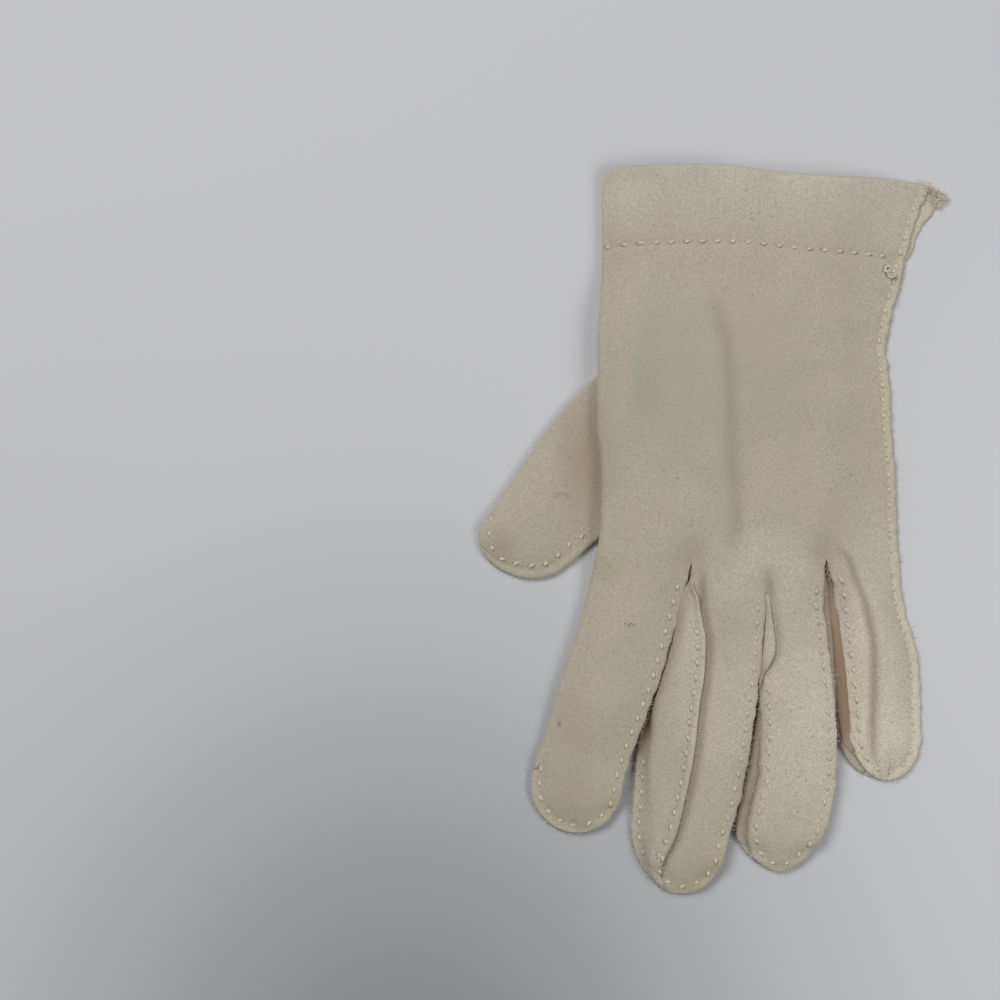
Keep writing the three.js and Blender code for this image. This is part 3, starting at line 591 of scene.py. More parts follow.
def trank():
    """Back and palm of the hand with their finger tabs, folded along the forefinger's side."""
    sheet = Sheet()
    xs, ys, across = hand_columns()
    across = np.append(across, np.ones(len(FLANGE)))
    out = np.append(np.zeros(len(xs)), FLANGE)
    crotch_y = np.append(ys, np.full(len(FLANGE), ys[-1]))
    fade = np.append(np.ones(len(xs)), FLANGE_FADE)
    previous = None
    for part in np.append([0, 0.6, 1.4], np.linspace(2.4, 100, HAND_ROWS)) / 100:
        layers = []
        for seam_table, cuff_end, drop in ((HAND_SEAM, 69.4, 0), (PALM_SEAM, 76.0, PALM_CORNER_DROP)):
            cuff = curve(CUFF_EDGE, mix(-32.9, cuff_end, across) + 2 * out - 1.0)
            y = mix(cuff - drop * smoothstep(0.93, 1.0, across) * (1 + out), crotch_y, part)
            fold = curve(HAND_FOLD, y) + FOLD_HEIGHT / 2
            seam = curve(seam_table, y) - ALLOWANCE
            layers.append((mix(fold, seam, across) + ALLOWANCE * out + cut_edge(11, y) * out ** 2, y))
        (bx, by), (px, py) = layers
        below = curve(CUFF_EDGE, bx) - by
        thick = mix(HEM_INWARD, HALF, smoothstep(HEM_DEPTH - 1, HEM_DEPTH + 1, below))
        top = np.where(out > 0, SEAM_TOP + lift_at(bx, by), hand_top(bx, by))
        top = top + (back_dimples(bx, by) + groove(bx, by)) * fade
        back = sheet.row(bx, by, top - HALF, thick)
        palm = sheet.row(px, py, lift_at(px, py) + HALF + 0.25 * out * smoothstep(85, 108, py))
        fold_ids = fold_arc(sheet, curve(HAND_FOLD, by[0]), by[0], FOLD_HEIGHT, thick[0], 1 - part)
        previous = sheet.join(previous, np.concatenate([back[::-1], fold_ids, palm]))
    add_tabs(sheet, back, palm, fold_ids, ys)
    return sheet.solid(with_oval=True)


def fold_arc(sheet, fold_x, y, height, inward, near_cuff=0.0):
    """Half round of the fold between the back and the palm, from the back down."""
    radius = height / 2 - HALF
    x = fold_x + height / 2 + radius * np.cos(FOLD_ANGLES)
    z = lift_at(fold_x, y) + height / 2 + radius * np.sin(FOLD_ANGLES)
    corner = curve(CUFF_EDGE, x - HALF) - curve(CUFF_EDGE, fold_x + height / 2)
    return sheet.row(x, y + corner * near_cuff ** 6, z, inward)


def add_tabs(sheet, back, palm, fold, ys):
    """The finger tabs, joined to the last rows of the hand and rounded at their tips."""
    first = 0
    for seed, name in enumerate(FINGER_ORDER, start=21):
        f = FINGERS[name]
        count = f["columns"]
        extra = len(FLANGE) if name == "little" else 0
        part = np.append(np.arange(count + 1) / count, np.ones(extra))
        out = np.append(np.zeros(count + 1), FLANGE[:extra])
        base_y = np.append(ys[first:first + count + 1], np.full(extra, ys[-1]))
        b, p = (row[first:first + count + 1 + extra] for row in (back, palm))
        first += count
        rim = out ** 2 if name == "little" else smoothstep(0.8, 1.0, part)
        if name != "index":
            rim = rim - smoothstep(0.2, 0.0, part)
        round_start = f["tip"] + f["round"]
        straight = np.linspace(TAB_START, round_start, int((TAB_START - round_start) / 1.2))[1:]
        tip = round_start - f["round"] * np.sin(np.radians(TIP_ANGLES))
        stations = [mix(base_y, TAB_START, k / 8) for k in range(1, 9)]
        for y in stations + [np.full(len(part), y) for y in np.append(straight, tip)]:
            layers = []
            for side in ("back", "palm"):
                left, right = finger_edges(name, side, y)
                if name == "index":
                    left = left + np.where(y > FOLD_END_Y, fold_height(y) / 2, 0)
                flange = np.minimum(ALLOWANCE, (right - left) / 4) if name == "little" else 0
                layers.append(mix(left, right - flange, part) + flange * out + cut_edge(seed, y) * rim)
            bx, px = layers
            z = mix(hand_top(bx, y), finger_top(name, bx, y), smoothstep(0, FINGER_EASE, base_y - y))
            z = np.where(out > 0, SEAM_TOP, z) + back_dimples(bx, y)
            next_b = sheet.row(bx, y, z - HALF)
            next_p = sheet.row(px, y, lift_at(px, y) + HALF)
            if name == "index" and y[0] > FOLD_END_Y:
                fold_x = finger_edges(name, "back", y[0])[0]
                next_fold = fold_arc(sheet, fold_x, y[0], float(fold_height(y[0])), HALF)
                sheet.join(np.concatenate([b[::-1], fold, p]),
                           np.concatenate([next_b[::-1], next_fold, next_p]))
                fold = next_fold
            else:
                sheet.join(b[::-1], next_b[::-1])
                sheet.join(p, next_p)
            b, p = next_b, next_p


def thumb():
    """The thumb's folded piece, from its tip to the oval in the palm."""
    sheet = Sheet()
    table = np.array(THUMB)
    last = table[-1, 0]
    stations = np.concatenate([[0, 0.5, 1, 1.6], np.arange(2.2, last, 1.2), [last]])
    part = np.linspace(0, 1, THUMB_COLUMNS)
    previous = None
    for fx, fy, sx, sy, height in zip(*(curve(dict(table[:, [0, k]]), stations) for k in range(1, 6))):
        width = math.hypot(sx - fx, sy - fy)
        ux, uy = (sx - fx) / width, (sy - fy) / width
        flange = min(ALLOWANCE, width / 4)
        low = min(height, THUMB_FOLD_HEIGHT)
        radius = low / 2 - HALF
        reach = np.append(mix(low / 2, width - flange, part), width - flange * (1 - FLANGE))
        top = mix(low, SEAM_TOP, part) + (height - low) * np.sin(math.pi * part) ** 0.7
        top = np.append(top, np.full(len(FLANGE), SEAM_TOP))
        turn = low / 2 + radius * np.cos(FOLD_ANGLES)
        x, y = fx + ux * reach, fy + uy * reach
        upper = sheet.row(x, y, top - HALF + dimples(thumb_places, THUMB_DIMPLE_DEPTH, x, y))
        fold = sheet.row(fx + ux * turn, fy + uy * turn, low / 2 + radius * np.sin(FOLD_ANGLES))
        lower = sheet.row(x, y, HALF)
        previous = sheet.join(previous, np.concatenate([upper[::-1], fold, lower]))
    # The base spreads to the rim of the oval in the palm
    base = np.concatenate(sheet.points)[previous]
    angles = np.radians(np.concatenate([
        np.linspace(105, 269, len(upper))[::-1], np.linspace(97, 83, len(fold)),
        np.linspace(75, -89, len(lower))]))
    rim_x = HOLE["x"] + (HOLE["half_width"] + 0.5) * np.cos(angles)
    rim_y = HOLE["y"] + (HOLE["half_length"] + 0.5) * np.sin(angles)
    rim = np.stack([rim_x, rim_y, lift_at(rim_x, rim_y) - 0.15 - HALF], axis=1)
    for t in np.arange(1, THUMB_BASE_ROWS + 1) / THUMB_BASE_ROWS:
        previous = sheet.join(previous, sheet.row(*mix(base, rim, [t, t, t ** 3]).T))
    return sheet.solid()


def smoothed(line):
    """A line of numbers with its kinks rounded off and its ends kept."""
    for _ in range(2):
        line[1:-1] = (line[:-2] + 2 * line[1:-1] + line[2:]) / 4
    return line


def section(gap, side, y):
    """Middle line of a fourchette's cross-section from its raw edge at the back to the one at the palm,
    for the left finger's right side (side 1) or the right finger's left side (side 0) of a gap."""
    name, neighbour = FINGER_ORDER[gap + 1 - side], FINGER_ORDER[gap + side]
    out = 2 * side - 1
    back_edge = finger_edges(name, "back", y)[side]
    palm_edge = finger_edges(name, "palm", y)[side]
    line = np.interp(back_edge, *zip(*CROTCHES))
    flange = mix(1.0, ALLOWANCE, smoothstep(2, 12, line - y))
    low = lift_at(palm_edge, y) + CLOTH + 0.1 + HALF
    palm_root = palm_edge - out * flange
    root = back_edge - out * flange
    edge_x = mix(back_edge, root, EDGE_PART)
    edge_z = np.maximum(finger_z(name, edge_x, y) - CLOTH - 0.1 - HALF, low + 0.05)
    there = finger_edges(neighbour, "back", max(y, FINGERS[neighbour]["tip"] + 3))[1 - side]
    widest = mix(WIDEST_BELLY, WIDEST_INNER_BELLY, smoothstep(-68, -52, y))
    belly = GAP_FILL[gap] * np.minimum(abs(there - back_edge) / 2 + flange, widest)
    belly = belly * smoothstep(0, 2.5, line - y) * smoothstep(1.6, 3.0, edge_z[-1])
    web_x = mix(root, palm_root, WEB_PART) + out * belly * np.sin(math.pi * WEB_PART ** BELLY_LOW) ** 0.7
    web_z = mix(edge_z[-1], low, WEB_PART)
    lean = 0.0
    if side == 0 and name in LAPS:
        lap_edge, rise, fall, bulge, lap_belly = LAPS[name]
        lean = float(smoothstep(*rise, -y) * (1 - smoothstep(*fall, -y)))
    if lean > 0:
        lap_x = curve(lap_edge, y)
        seam_x = min(float(back_edge), float(lap_x) - 0.5)
        angle = math.pi * (1 - lean)
        fx = seam_x + (lap_x - seam_x) * math.cos(angle) * (1 - EDGE_PART)
        ride = smoothstep(0.0, 1.0, (fx - seam_x) / 1.6)
        over = finger_z(name, np.maximum(fx, back_edge + 0.2), y) + (HALF + 0.12) * mix(0.2, 1.0, ride)
        fz = over + 1.2 * math.sin(angle) * (1 - EDGE_PART)
        fz = fz + 0.3 * np.sin(math.pi * (0.15 + 0.85 * EDGE_PART)) ** 2
        lap_belly = lap_belly * smoothstep(-95, -75, y)
        bulge = bulge * smoothstep(0.3, 1.0, lean) * smoothstep(0.0, 4.0, fz[-1] - low)
        lap_web_x = mix(fx[-1], palm_root, WEB_PART) - lap_belly * np.sin(math.pi * WEB_PART) ** 1.5
        lap_web_z = mix(fz[-1], low, WEB_PART ** LAP_DROP) + bulge * np.sin(math.pi * WEB_PART) ** 0.9
        blend = smoothstep(0.0, 0.5, lean)
        edge_x, edge_z = mix(edge_x, fx, blend), mix(edge_z, fz, blend)
        web_x, web_z = mix(web_x, lap_web_x, blend), mix(web_z, lap_web_z, blend)
    x = smoothed(np.concatenate([edge_x, web_x, mix(palm_root, palm_edge, END_PART)]))
    z = smoothed(np.concatenate([edge_z, web_z, np.full(len(END_PART), low)]))
    return np.stack([x, np.full(len(x), y), z], axis=1)


def crotch_section(x, y):
    """The turn of a fourchette at the crotch, where its edges point down the slit."""
    top = float(hand_top(x, y)) - CLOTH - 0.12 - HALF
    low = float(lift_at(x, y)) + CLOTH + 0.12 + HALF
    inner, outer = y + 0.5, y - 1.0
    ys = smoothed(np.concatenate([mix(outer, inner, EDGE_PART), inner + 0.4 * np.sin(math.pi * WEB_PART),
                                  mix(inner, outer, END_PART)]))
    zs = smoothed(np.concatenate([np.full(len(EDGE_PART), top), mix(top, low, WEB_PART),
                                  np.full(len(END_PART), low)]))
    return np.stack([np.full(len(ys), x), ys, zs], axis=1)


def fourchette(gap):
    """The strip between two fingers: down the left finger's side, round the crotch and back."""
    legs = []
    for side in (1, 0):
        f = FINGERS[FINGER_ORDER[gap + 1 - side]]
        start = CROTCHES[gap][1] - 4.0
        end = f["tip"] + f["round"] * 0.2
        legs.append([section(gap, side, y) for y in np.linspace(start, end, int(abs(start - end) / 1.1))])
    turn = crotch_section(*CROTCHES[gap])

    def bridge(a, b):
        return [mix(a, b, t) + [0, CROTCH_SWING * math.sin(math.pi * t), 0] for t in np.arange(1, 7) / 7]

    sheet = Sheet()
    previous = None
    for line in legs[0][::-1] + bridge(legs[0][0], turn) + [turn] + bridge(turn, legs[1][0]) + legs[1]:
        previous = sheet.join(previous, sheet.row(*line.T))
    return sheet.solid()


# Materials
def put(tree, node, sockets):
    """Fills a node's inputs: an output of another node is linked, anything else is a value."""
    for key, value in sockets.items():
        if isinstance(value, bpy.types.NodeSocket):
            tree.links.new(value, node.inputs[key])
        else:
            node.inputs[key].default_value = value
    return node


def add_node(tree, kind, sockets, **settings):
    node = tree.nodes.new("ShaderNode" + kind)
    for key, value in settings.items():
        setattr(node, key, value)
    return put(tree, node, sockets)


def new_material(name, sockets):
    material = bpy.data.materials.new(name)
    material.use_nodes = True
    tree = material.node_tree
    tree.nodes.clear()
    shader = add_node(tree, "BsdfPrincipled", sockets)
    add_node(tree, "OutputMaterial", {"Surface": shader.outputs["BSDF"]})
    return material, tree, shader


def noise(tree, coord, scale, detail, rough=0.5):
    return add_node(tree, "TexNoise", {"Vector": coord, "Scale": scale, "Detail": detail,
                                       "Roughness": rough}).outputs["Fac"]


def ramp(tree, value, low, high):
    return add_node(tree, "MapRange", {"Value": value, "From Min": low, "From Max": high},
                    interpolation_type="SMOOTHSTEP").outputs["Result"]


def product(tree, a, b):
    return add_node(tree, "Math", {0: a, 1: b}, operation="MULTIPLY").outputs[0]


def tint(tree, base, factor, colour, amount):
    """base, moved towards colour by factor times amount."""
    return add_node(tree, "Mix", {"Factor": product(tree, factor, amount), "A": base, "B": colour + (1.0,)},
                    data_type="RGBA").outputs["Result"]


def stretched(tree, coord, scale):
    return add_node(tree, "Mapping", {"Vector": coord, "Scale": scale}).outputs["Vector"]


def spot(tree, coord, x, y, rx, ry):
    """1 at a place on the cloth, in millimetres, falling to 0 at its border."""
    middle = ((x + SHIFT[0]) * MM, (y + SHIFT[1]) * MM, 0)
    away = add_node(tree, "VectorMath", {0: coord, 1: middle}, operation="SUBTRACT").outputs[0]
    scale = (1 / (rx * MM), 1 / (ry * MM), 0)
    away = add_node(tree, "VectorMath", {0: away, 1: scale}, operation="MULTIPLY").outputs[0]
    return ramp(tree, add_node(tree, "VectorMath", {0: away}, operation="LENGTH").outputs["Value"], 1.0, 0.0)


def spotted(tree, coord, base, spots):
    """base with spots on it: x, y, half width, half length, colour, strength."""
    for x, y, rx, ry, colour, amount in spots:
        base = tint(tree, base, spot(tree, coord, x, y, rx, ry), colour, amount)
    return base


def shaded(colour, share):
    return tuple(v * share for v in colour)


def cotton(name, colour, stains_painted_light_and_shade=False, painted_gap_shade_lip_light=0.0):
    """Washed cotton: nap, fine ribs, faint mottling and small dark fibres; for the glove's main cloth also
    its own stains, with painted light in lighter patches and painted shade in the creases, beside the lapped
    edges and on the thumb.
    The last argument is how much painted shade it takes deep between the fingers; with it the high lip is
    also painted lighter."""
    material, tree, shader = new_material(name, COTTON_SHEEN)
    coord = add_node(tree, "TexCoord", {}).outputs["Object"]
    base = colour + (1.0,)

    def lay(factor, shade, amount):
        nonlocal base
        base = tint(tree, base, factor, shade, amount)

    if painted_gap_shade_lip_light:
        place = add_node(tree, "SeparateXYZ", {0: coord}).outputs
        # Painted light: the high cloth of the lip is lighter
        lay(ramp(tree, place["Z"], 6.3 * MM, 7.7 * MM), LIP_PAINTED_LIGHT, 1.0)
    if stains_painted_light_and_shade:
        # Painted light: lighter patches
        base = spotted(tree, coord, base, PAINTED_LIGHT_PATCHES)
    for scale, detail, rough, low, high, amount in MOTTLING:
        lay(ramp(tree, noise(tree, coord, scale, detail, rough), low, high), shaded(colour, 0.72), amount)
    ribs = noise(tree, stretched(tree, coord, (1.0, 0.7, 1.0)), 2300, 2)
    lay(ramp(tree, ribs, 0.4, 0.62), shaded(colour, 0.5), 0.3)
    lay(ramp(tree, noise(tree, coord, 1000, 1), 0.75, 0.79), FIBRE_COLOUR, 0.6)
    # Painted shade, per point, from the mesh's attribute
    painted_shade_amount = add_node(tree, "Attribute", {}, attribute_name="painted_shade").outputs["Fac"]
    if stains_painted_light_and_shade:
        # Stains, with some painted shade on the thumb
        base = spotted(tree, coord, base, STAINS_AND_PAINTED_SHADE)
        lay(painted_shade_amount, PAINTED_SHADE_COLOUR, 0.8)
    if painted_gap_shade_lip_light:
        # Painted shade: the lower the wall lies towards the tips, the browner
        deep = ramp(tree, place["Z"], 4.6 * MM, 2.8 * MM)
        lay(product(tree, deep, ramp(tree, place["Y"], -80 * MM, -60 * MM)), GAP_SHADE, painted_gap_shade_lip_light)
        lay(painted_shade_amount, GAP_SHADE, painted_gap_shade_lip_light)
    weave = noise(tree, stretched(tree, coord, (1.0, 0.45, 1.0)), 1300, 3)
    weave = add_node(tree, "Bump", {"Strength": 0.5, "Distance": 0.2 * MM, "Height": weave})
    nap = add_node(tree, "Bump", {"Strength": 0.4, "Distance": 0.6 * MM, "Normal": weave.outputs["Normal"],
                                  "Height": noise(tree, coord, 700, 4, 0.65)})
    put(tree, shader, {"Base Color": base, "Normal": nap.outputs["Normal"]})
    return material


COTTON_SHEEN = {"Roughness": 0.95, "Specular IOR Level": 0.12, "Sheen Weight": 0.12, "Sheen Roughness": 0.6,
                "Sheen Tint": (1.0, 0.97, 0.9, 1)}
# Noises of the cloth: scale, detail, roughness, and from where to where it darkens, how much
MOTTLING = [(24, 3, 0.5, 0.42, 0.72, 0.2), (90, 4, 0.6, 0.45, 0.75, 0.16), (1000, 3, 0.7, 0.40, 0.68, 0.34)]
FIBRE_COLOUR = (0.22, 0.18, 0.12)
# Colour of the painted shade along the creases and edges
PAINTED_SHADE_COLOUR = (0.265, 0.22, 0.15)
# Soft brown shade deep between the fingers
GAP_SHADE = (0.30, 0.205, 0.125)
# Painted light on the lip over the middle finger, lighter than the lower wall below it
LIP_PAINTED_LIGHT = (0.66, 0.605, 0.485)
# Painted light: lighter patches where the cloth shows brighter lit, most over the right-hand fingers, the
# right side and the cuff; x, y, half width, half length in millimetres, colour, strength
PAINTED_LIGHT_COLOUR = (0.82, 0.755, 0.63)
PAINTED_LIGHT_PATCHES = [
    (64, -56, 66, 76, PAINTED_LIGHT_COLOUR, 0.95),
    (16, -64, 48, 56, PAINTED_LIGHT_COLOUR, 0.45),
    (20, 116, 75, 27, (0.68, 0.63, 0.53), 0.95),
    (72, 52, 42, 84, (0.69, 0.61, 0.445), 0.8),
    (62, 98, 26, 28, (0.73, 0.68, 0.565), 0.8),
    (60, 66, 20, 42, (0.70, 0.645, 0.515), 0.6),
    (60, -10, 20, 30, (0.80, 0.74, 0.60), 0.7),
    (62, 20, 18, 34, (0.68, 0.61, 0.465), 0.5),
    (14, -13, 24, 20, (0.75, 0.70, 0.56), 0.7),
    (46, -38, 7, 28, (0.88, 0.81, 0.66), 0.6),
    (-30, 105, 16, 12, (0.72, 0.67, 0.56), 0.6),
]
# Stains and flecks, in the same columns, with two patches of painted shade on the thumb
STAINS_AND_PAINTED_SHADE = [
    (-44, -62, 9, 17, (0.41, 0.355, 0.245), 0.4),
    (-48.2, -61.5, 1, 1.5, (0.28, 0.20, 0.11), 0.75),
    (-20.5, 54, 8, 26, (0.44, 0.455, 0.36), 0.4),
    (-33, 36, 12, 42, (0.44, 0.41, 0.31), 0.3),
    (4, 25, 6, 46, (0.44, 0.42, 0.34), 0.35),
    # Painted shade on the thumb beside the hand's fold, partly a stain
    (-40.5, 22, 11, 30, (0.37, 0.30, 0.205), 0.6),
    (10, 55, 30, 34, (0.47, 0.43, 0.32), 0.5),
    (-11, 38, 24, 36, (0.43, 0.41, 0.32), 0.35),
    (-44.6, -84, 12, 14, (0.43, 0.38, 0.27), 0.5),
    (-21.5, 43, 8, 17, (0.38, 0.38, 0.29), 0.5),
    (-14, 60, 20, 20, (0.44, 0.42, 0.33), 0.35),
    # Painted shade in the hollow at the thumb's tip
    (-67, -5, 8, 9, (0.36, 0.31, 0.20), 0.5),
    (-2, -107, 14, 10, (0.43, 0.38, 0.28), 0.45),
    (36, 4, 16, 12, (0.50, 0.45, 0.31), 0.3),
    (-22, -98, 9, 14, (0.47, 0.41, 0.29), 0.3),
]
FLECK = (0.13, 0.11, 0.08)
FLECKS = [(35.7, -49.5, 0.5), (29.3, 72.0, 0.4), (-26.4, -30.3, 0.45), (-56.0, 19.0, 0.4),
          (-9.1, 62.5, 0.45), (31.0, 79.0, 0.35), (45.0, 82.0, 0.35)]
STAINS_AND_PAINTED_SHADE += [(x, y, r, r * 0.8, FLECK, 0.75) for x, y, r in FLECKS]

# The main cloth takes the stains, the patches of painted light and the painted shade
cotton_cloth = cotton("cotton_cloth", (0.56, 0.508, 0.392), stains_painted_light_and_shade=True)
# The fourchettes take painted shade deep between the fingers and painted light on the high lip
fourchette_cloth = cotton("fourchette_cloth", (0.55, 0.508, 0.408), painted_gap_shade_lip_light=0.85)
thread = cotton("thread", (0.745, 0.685, 0.56))
fibre = cotton("fibre", (0.92, 0.82, 0.69))
frayed = cotton("frayed", (0.98, 0.89, 0.74))
# Painted shade: dark brown beads stand in for the shade inside the needle holes
painted_pinhole_shade = new_material("painted_pinhole_shade", {"Base Color": (0.35, 0.29, 0.195, 1), "Roughness": 1.0})[0]
lint = new_material("lint", {"Base Color": (0.16, 0.14, 0.11, 1)})[0]

cloth = [trank(), thumb()]
add_mesh("trank_cloth", *cloth[0], cotton_cloth, "cotton", "trank", painted_shade)
add_mesh("thumb_cloth", *cloth[1], cotton_cloth, "cotton", "thumb")
for gap, shade in enumerate(GAP_PAINTED_SHADE):
    node = "fourchette_" + FINGER_ORDER[gap] + "_" + FINGER_ORDER[gap + 1]
    cloth.append(fourchette(gap))
    add_mesh(node + "_cloth", *cloth[-1], fourchette_cloth, "fourchette_cotton", node, shade)

starts = np.cumsum([0] + [len(points) for points, faces in cloth])
surface_tree = BVHTree.FromPolygons(
    np.concatenate([points for points, faces in cloth]).tolist(),
    np.concatenate([faces + start for (points, faces), start in zip(cloth, starts)]).tolist())


def seen_heights(places):
    """Height of the topmost cloth at each place."""
    hits = (surface_tree.ray_cast(Vector((x, y, 30.0)), Vector((0, 0, -1)))[0] for x, y in places)
    return np.array([hit.z if hit else 0.0 for hit in hits])


def tube_faces(ids):
    """Walls and ends of closed tubes of points, numbered by tube, ring and side."""
    turn = np.roll(ids, -1, axis=2)
    walls = np.stack([ids[:, :-1], turn[:, :-1], turn[:, 1:], ids[:, 1:]], axis=-1).reshape(-1, 4)
    return walls.tolist() + [list(e[::-1]) for e in ids[:, 0]] + [list(e) for e in ids[:, -1]]


def pearls(places, ahead, heights, slants, length, radius, rise, seed):
    """Flattened beads that lie along their rows, sunk a little into the cloth."""
    rng = np.random.default_rng(seed)
    count, rings, sides = len(places), 9, 10
    turn = slants + rng.normal(0, 0.12, count)
    c, s = np.cos(turn), np.sin(turn)
    along = np.stack([ahead[:, 0] * c - ahead[:, 1] * s, ahead[:, 0] * s + ahead[:, 1] * c], axis=1)
    side = np.stack([-along[:, 1], along[:, 0]], axis=1)
    half = 0.5 * length * rng.uniform(0.85, 1.15, count)
    t = np.sin(np.linspace(-1.45, 1.45, rings)) / math.sin(1.45)
    girth = radius * np.sqrt(np.maximum(1 - (0.97 * t) ** 2, 0))[:, None]
    angle = 2 * math.pi * np.arange(sides) / sides
    vertices = np.zeros((count, rings, sides, 3))
    vertices[..., :2] = (places[:, None, None]
                         + along[:, None, None] * (half[:, None] * t)[..., None, None]
                         + side[:, None, None] * (girth * np.cos(angle))[None, ..., None])
    vertices[..., 2] = heights[:, None, None] + rise + (girth * np.sin(angle))[None] * 0.75
    ids = np.arange(count * rings * sides).reshape(count, rings, sides)
    return vertices.reshape(-1, 3), tube_faces(ids)


# Pearl-like stitches, with a dark bead of painted shade for the needle hole at each end
places, ahead = (np.concatenate(parts) for parts in zip(*stitch_rows))
slants = np.concatenate([np.full(len(row[0]), slant) for row, slant in zip(stitch_rows, row_slants)])
heights = seen_heights(places)
add_mesh("stitches", *pearls(places, ahead, heights, slants, STITCH_LENGTH, STITCH_RADIUS, STITCH_RISE, 5),
         thread)
for name, way in (("painted_pinhole_shade_1", -1), ("painted_pinhole_shade_2", 1)):
    at = places + way * HOLE_APART * ahead
    add_mesh(name, *pearls(at, ahead, heights, slants, HOLE_LENGTH, HOLE_RADIUS, 0.0, 9), painted_pinhole_shade)


def strands(paths, radii, sides=3):
    """Thin tubes along paths of points, all with the same number of points, closed at both ends."""
    paths = np.asarray(paths, dtype=float)
    count, length = paths.shape[:2]
    ahead = np.gradient(paths, axis=1)
    ahead /= np.maximum(np.linalg.norm(ahead, axis=2, keepdims=True), 1e-9)
    reference = np.where(np.abs(ahead[..., 2:3]) < 0.9, [0.0, 0.0, 1.0], [1.0, 0.0, 0.0])
    across = np.cross(ahead, reference)
    across /= np.linalg.norm(across, axis=2, keepdims=True)
    other = np.cross(ahead, across)
    taper = 1 - 0.55 * np.linspace(0, 1, length) ** 3
    size = (np.asarray(radii)[:, None] * taper)[..., None, None]
    angle = 2 * math.pi * np.arange(sides) / sides
    ring = np.cos(angle)[:, None] * across[:, :, None, :] + np.sin(angle)[:, None] * other[:, :, None, :]
    ids = np.arange(count * length * sides).reshape(count, length, sides)
    return (paths[:, :, None, :] + ring * size).reshape(-1, 3), tube_faces(ids)


def hairs(places, away, length, spread, radius, seed, points=5):
    """Curved loose fibres that start at places and lean away from the cloth."""
    rng = np.random.default_rng(seed)
    n = len(places)
    heading = away + rng.normal(0, spread, (n, 3))
    heading /= np.maximum(np.linalg.norm(heading, axis=1, keepdims=True), 1e-6)
    bend = rng.normal(0, 0.55, (n, 3))
    size = rng.uniform(0.45, 1.25, n)[:, None] * length
    t = np.linspace(0, 1, points)[None, :, None]
    paths = places[:, None] + (heading[:, None] * t + bend[:, None] * t ** 2) * size[:, None]
    paths[..., 2] = np.clip(paths[..., 2], 0.12, np.maximum(places[:, 2] + 0.5, 0.6)[:, None])
    return strands(paths, rng.uniform(0.6, 1.2, n) * radius)


# Fuzz along the raw edges, but not round the turned cuff or the thumb's hidden oval
FUZZ_HAIRS = 6500
FUZZ_LENGTH = 0.85
FUZZ_RADIUS = 0.06
edges = np.concatenate(raw_edges)
edges = edges[np.unique(np.round(edges[:, :3] / 0.7), axis=0, return_index=True)[1]]
at_cuff = (edges[:, 1] > 98) & (edges[:, 0] < 62)
edges = edges[~at_cuff & (hole_radius(edges) >= 1.15)]
rng = np.random.default_rng(8)
chosen = edges[rng.integers(0, len(edges), FUZZ_HAIRS)]
start = chosen[:, :3] - 0.3 * chosen[:, 3:] + rng.normal(0, 0.34, (FUZZ_HAIRS, 3)) * [1, 1, 0.5]
add_mesh("fuzz", *hairs(start, chosen[:, 3:], FUZZ_LENGTH, 0.6, FUZZ_RADIUS, 4), fibre)

# Frayed tufts at the open corner of the cuff: place, direction, reach, hairs
TUFTS = [((69.2, 109.2, 2.2), (0.1, 1.0, 0.1), 0.9, 50), ((73.4, 106.0, 1.3), (1.0, 0.4, 0.1), 0.8, 240),
         ((72.0, 104.6, 1.2), (1.0, -0.5, 0.0), 0.8, 170), ((71.4, 107.0, 1.5), (0.3, 1.0, 0.2), 0.8, 110)]
for k, (place, heading, reach, count) in enumerate(TUFTS):
    start = np.array(place) + rng.normal(0, 0.8, (count, 3)) * [1, 1, 0.35]
    tuft = hairs(start, np.tile(heading, (count, 1)), reach, 0.55, 0.1, 20 + k, points=6)
    add_mesh("tuft_" + str(k + 1), *tuft, frayed)

# Loose end of thread, knotted near the hem
KNOT = (56.4, 82.0)
KNOT_LOOPS = 2.6
KNOT_SIZE = 1.6
KNOT_POINTS = 60
KNOT_THREAD = 0.46
turns = np.linspace(-2.0, 2 * math.pi * KNOT_LOOPS, KNOT_POINTS)
grow = KNOT_SIZE * (0.72 + 0.28 * np.sin(1.3 * turns))
knot_x = KNOT[0] + grow * np.cos(turns) + np.linspace(-1.4, 1.6, KNOT_POINTS)
knot_y = KNOT[1] + 0.8 * grow * np.sin(turns) + np.linspace(0.6, -1.0, KNOT_POINTS)
under_knot = seen_heights(zip(knot_x, knot_y))
knot_z = np.maximum(under_knot, under_knot.mean() - 0.3) + 0.4 + 0.5 * np.sin(2.2 * turns) ** 2
knot_path = np.stack([knot_x, knot_y, knot_z], axis=1)
add_mesh("thread_knot", *strands([knot_path], [KNOT_THREAD], sides=8), thread)

# Two stray hairs caught on the cloth of the thumb and of the forefinger
LINT = [[(-50.0, 10.4), (-48.9, 11.4), (-47.4, 11.7), (-46.0, 11.1), (-45.2, 10.6), (-44.9, 11.3)],
        [(-28.4, -29.6), (-27.6, -29.2), (-26.8, -29.9), (-26.0, -29.0), (-25.4, -29.8), (-24.6, -28.9)]]
LINT_RADIUS = 0.055
THUMB_TOP = 4.9
for k, path in enumerate(LINT):
    keys = np.linspace(0, 1, len(path))
    x, y = (curve(dict(zip(keys, values)), np.linspace(0, 1, 40)) for values in zip(*path))
    z = (np.full(40, THUMB_TOP) if k == 0 else finger_z("index", x, y)) + 0.12
    add_mesh("lint_" + str(k + 1), *strands([np.stack([x, y, z], axis=1)], [LINT_RADIUS], sides=5), lint)
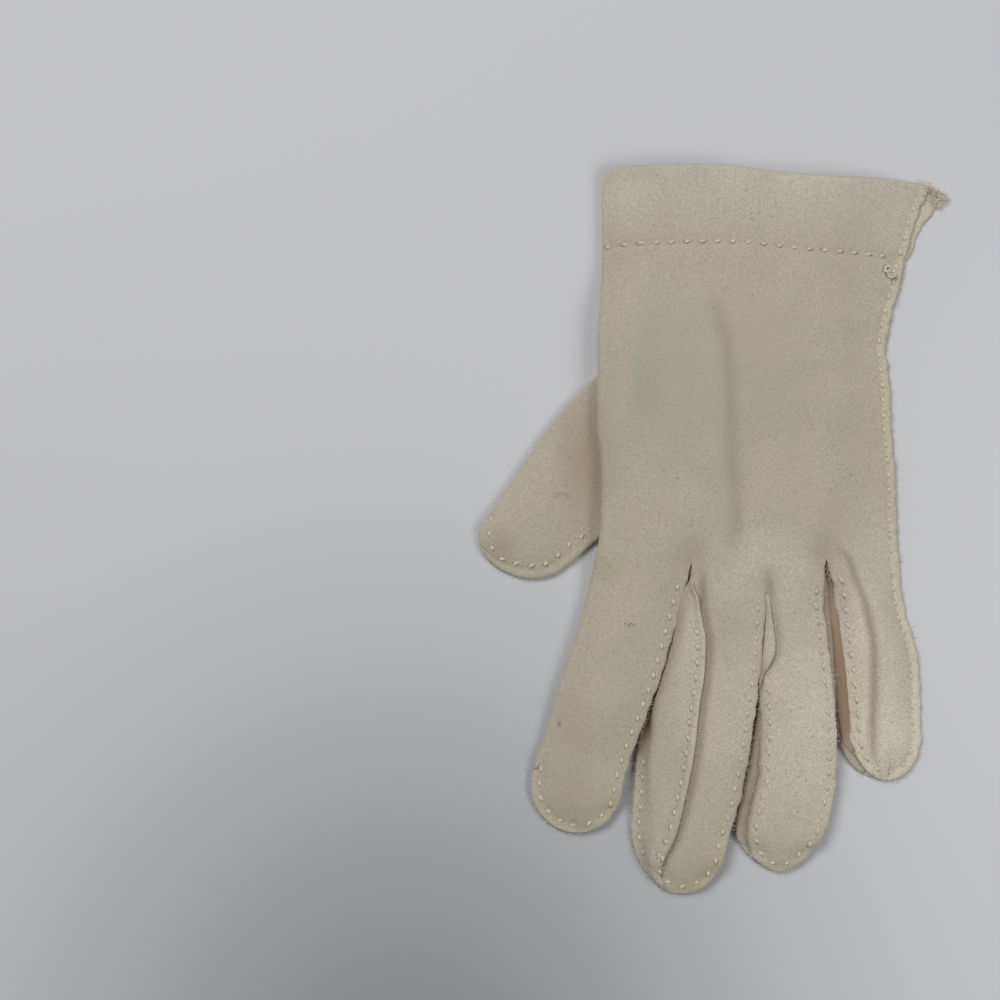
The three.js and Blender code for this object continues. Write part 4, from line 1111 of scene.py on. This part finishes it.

# Surface that the glove lies on, with painted shadow darker below the fingers and painted light paler on the
# right
FLOOR_HALF = 3
FLOOR = (0.665, 0.668, 0.692)
FLOOR_PAINTED_SHADE_AND_LIGHT = [(-95.0, -190.0, 185.0, 230.0, (0.27, 0.295, 0.298), 0.9),
                (120.0, -10.0, 75.0, 150.0, (0.74, 0.74, 0.76), 0.6)]
material, tree, shader = new_material("pale_surface", {"Roughness": 0.7, "Specular IOR Level": 0.2})
coord = add_node(tree, "TexCoord", {}).outputs["Object"]
put(tree, shader, {"Base Color": spotted(tree, coord, FLOOR + (1.0,), FLOOR_PAINTED_SHADE_AND_LIGHT)})
floor_mesh = bpy.data.meshes.new("floor")
floor_mesh.from_pydata([(FLOOR_HALF * x, FLOOR_HALF * y, 0) for x, y in ((-1, -1), (1, -1), (1, 1), (-1, 1))],
                       [], [(0, 1, 2, 3)])
floor_mesh.materials.append(material)
floor = placed("floor", floor_mesh)

# Camera straight above, in millimetres
CAMERA = (-66.56, 9.58, 400.0)
camera_data = bpy.data.cameras.new("camera")
camera_data.sensor_width = 36
camera_data.lens = 45
camera_data.clip_start = 0.01
camera = placed("camera", camera_data)
camera.location = [v * MM for v in CAMERA]
bpy.context.scene.camera = camera

# Soft studio light, in metres and watts
KEY = 14.0
FILL = 2.5
WORLD = 0.16


def area(name, location, target, size, energy, colour):
    data = bpy.data.lights.new(name, "AREA")
    data.shape = "DISK"
    data.size = size
    data.energy = energy
    data.color = colour
    lamp = placed(name, data)
    lamp.location = location
    lamp.rotation_euler = (Vector(target) - Vector(location)).to_track_quat("-Z", "Y").to_euler()


area("key", (-0.75, 0.8, 1.1), (-0.05, 0.05, 0), 0.75, KEY, (1.0, 0.99, 0.975))
area("fill", (0.55, -0.2, 0.6), (0.05, 0.0, 0), 0.5, FILL, (0.99, 0.99, 1.0))

world = bpy.data.worlds.new("soft_light")
bpy.context.scene.world = world
world.use_nodes = True
background = world.node_tree.nodes["Background"]
background.inputs["Color"].default_value = (0.94, 0.97, 1.0, 1)
background.inputs["Strength"].default_value = WORLD
bpy.context.scene.view_settings.view_transform = "Standard"
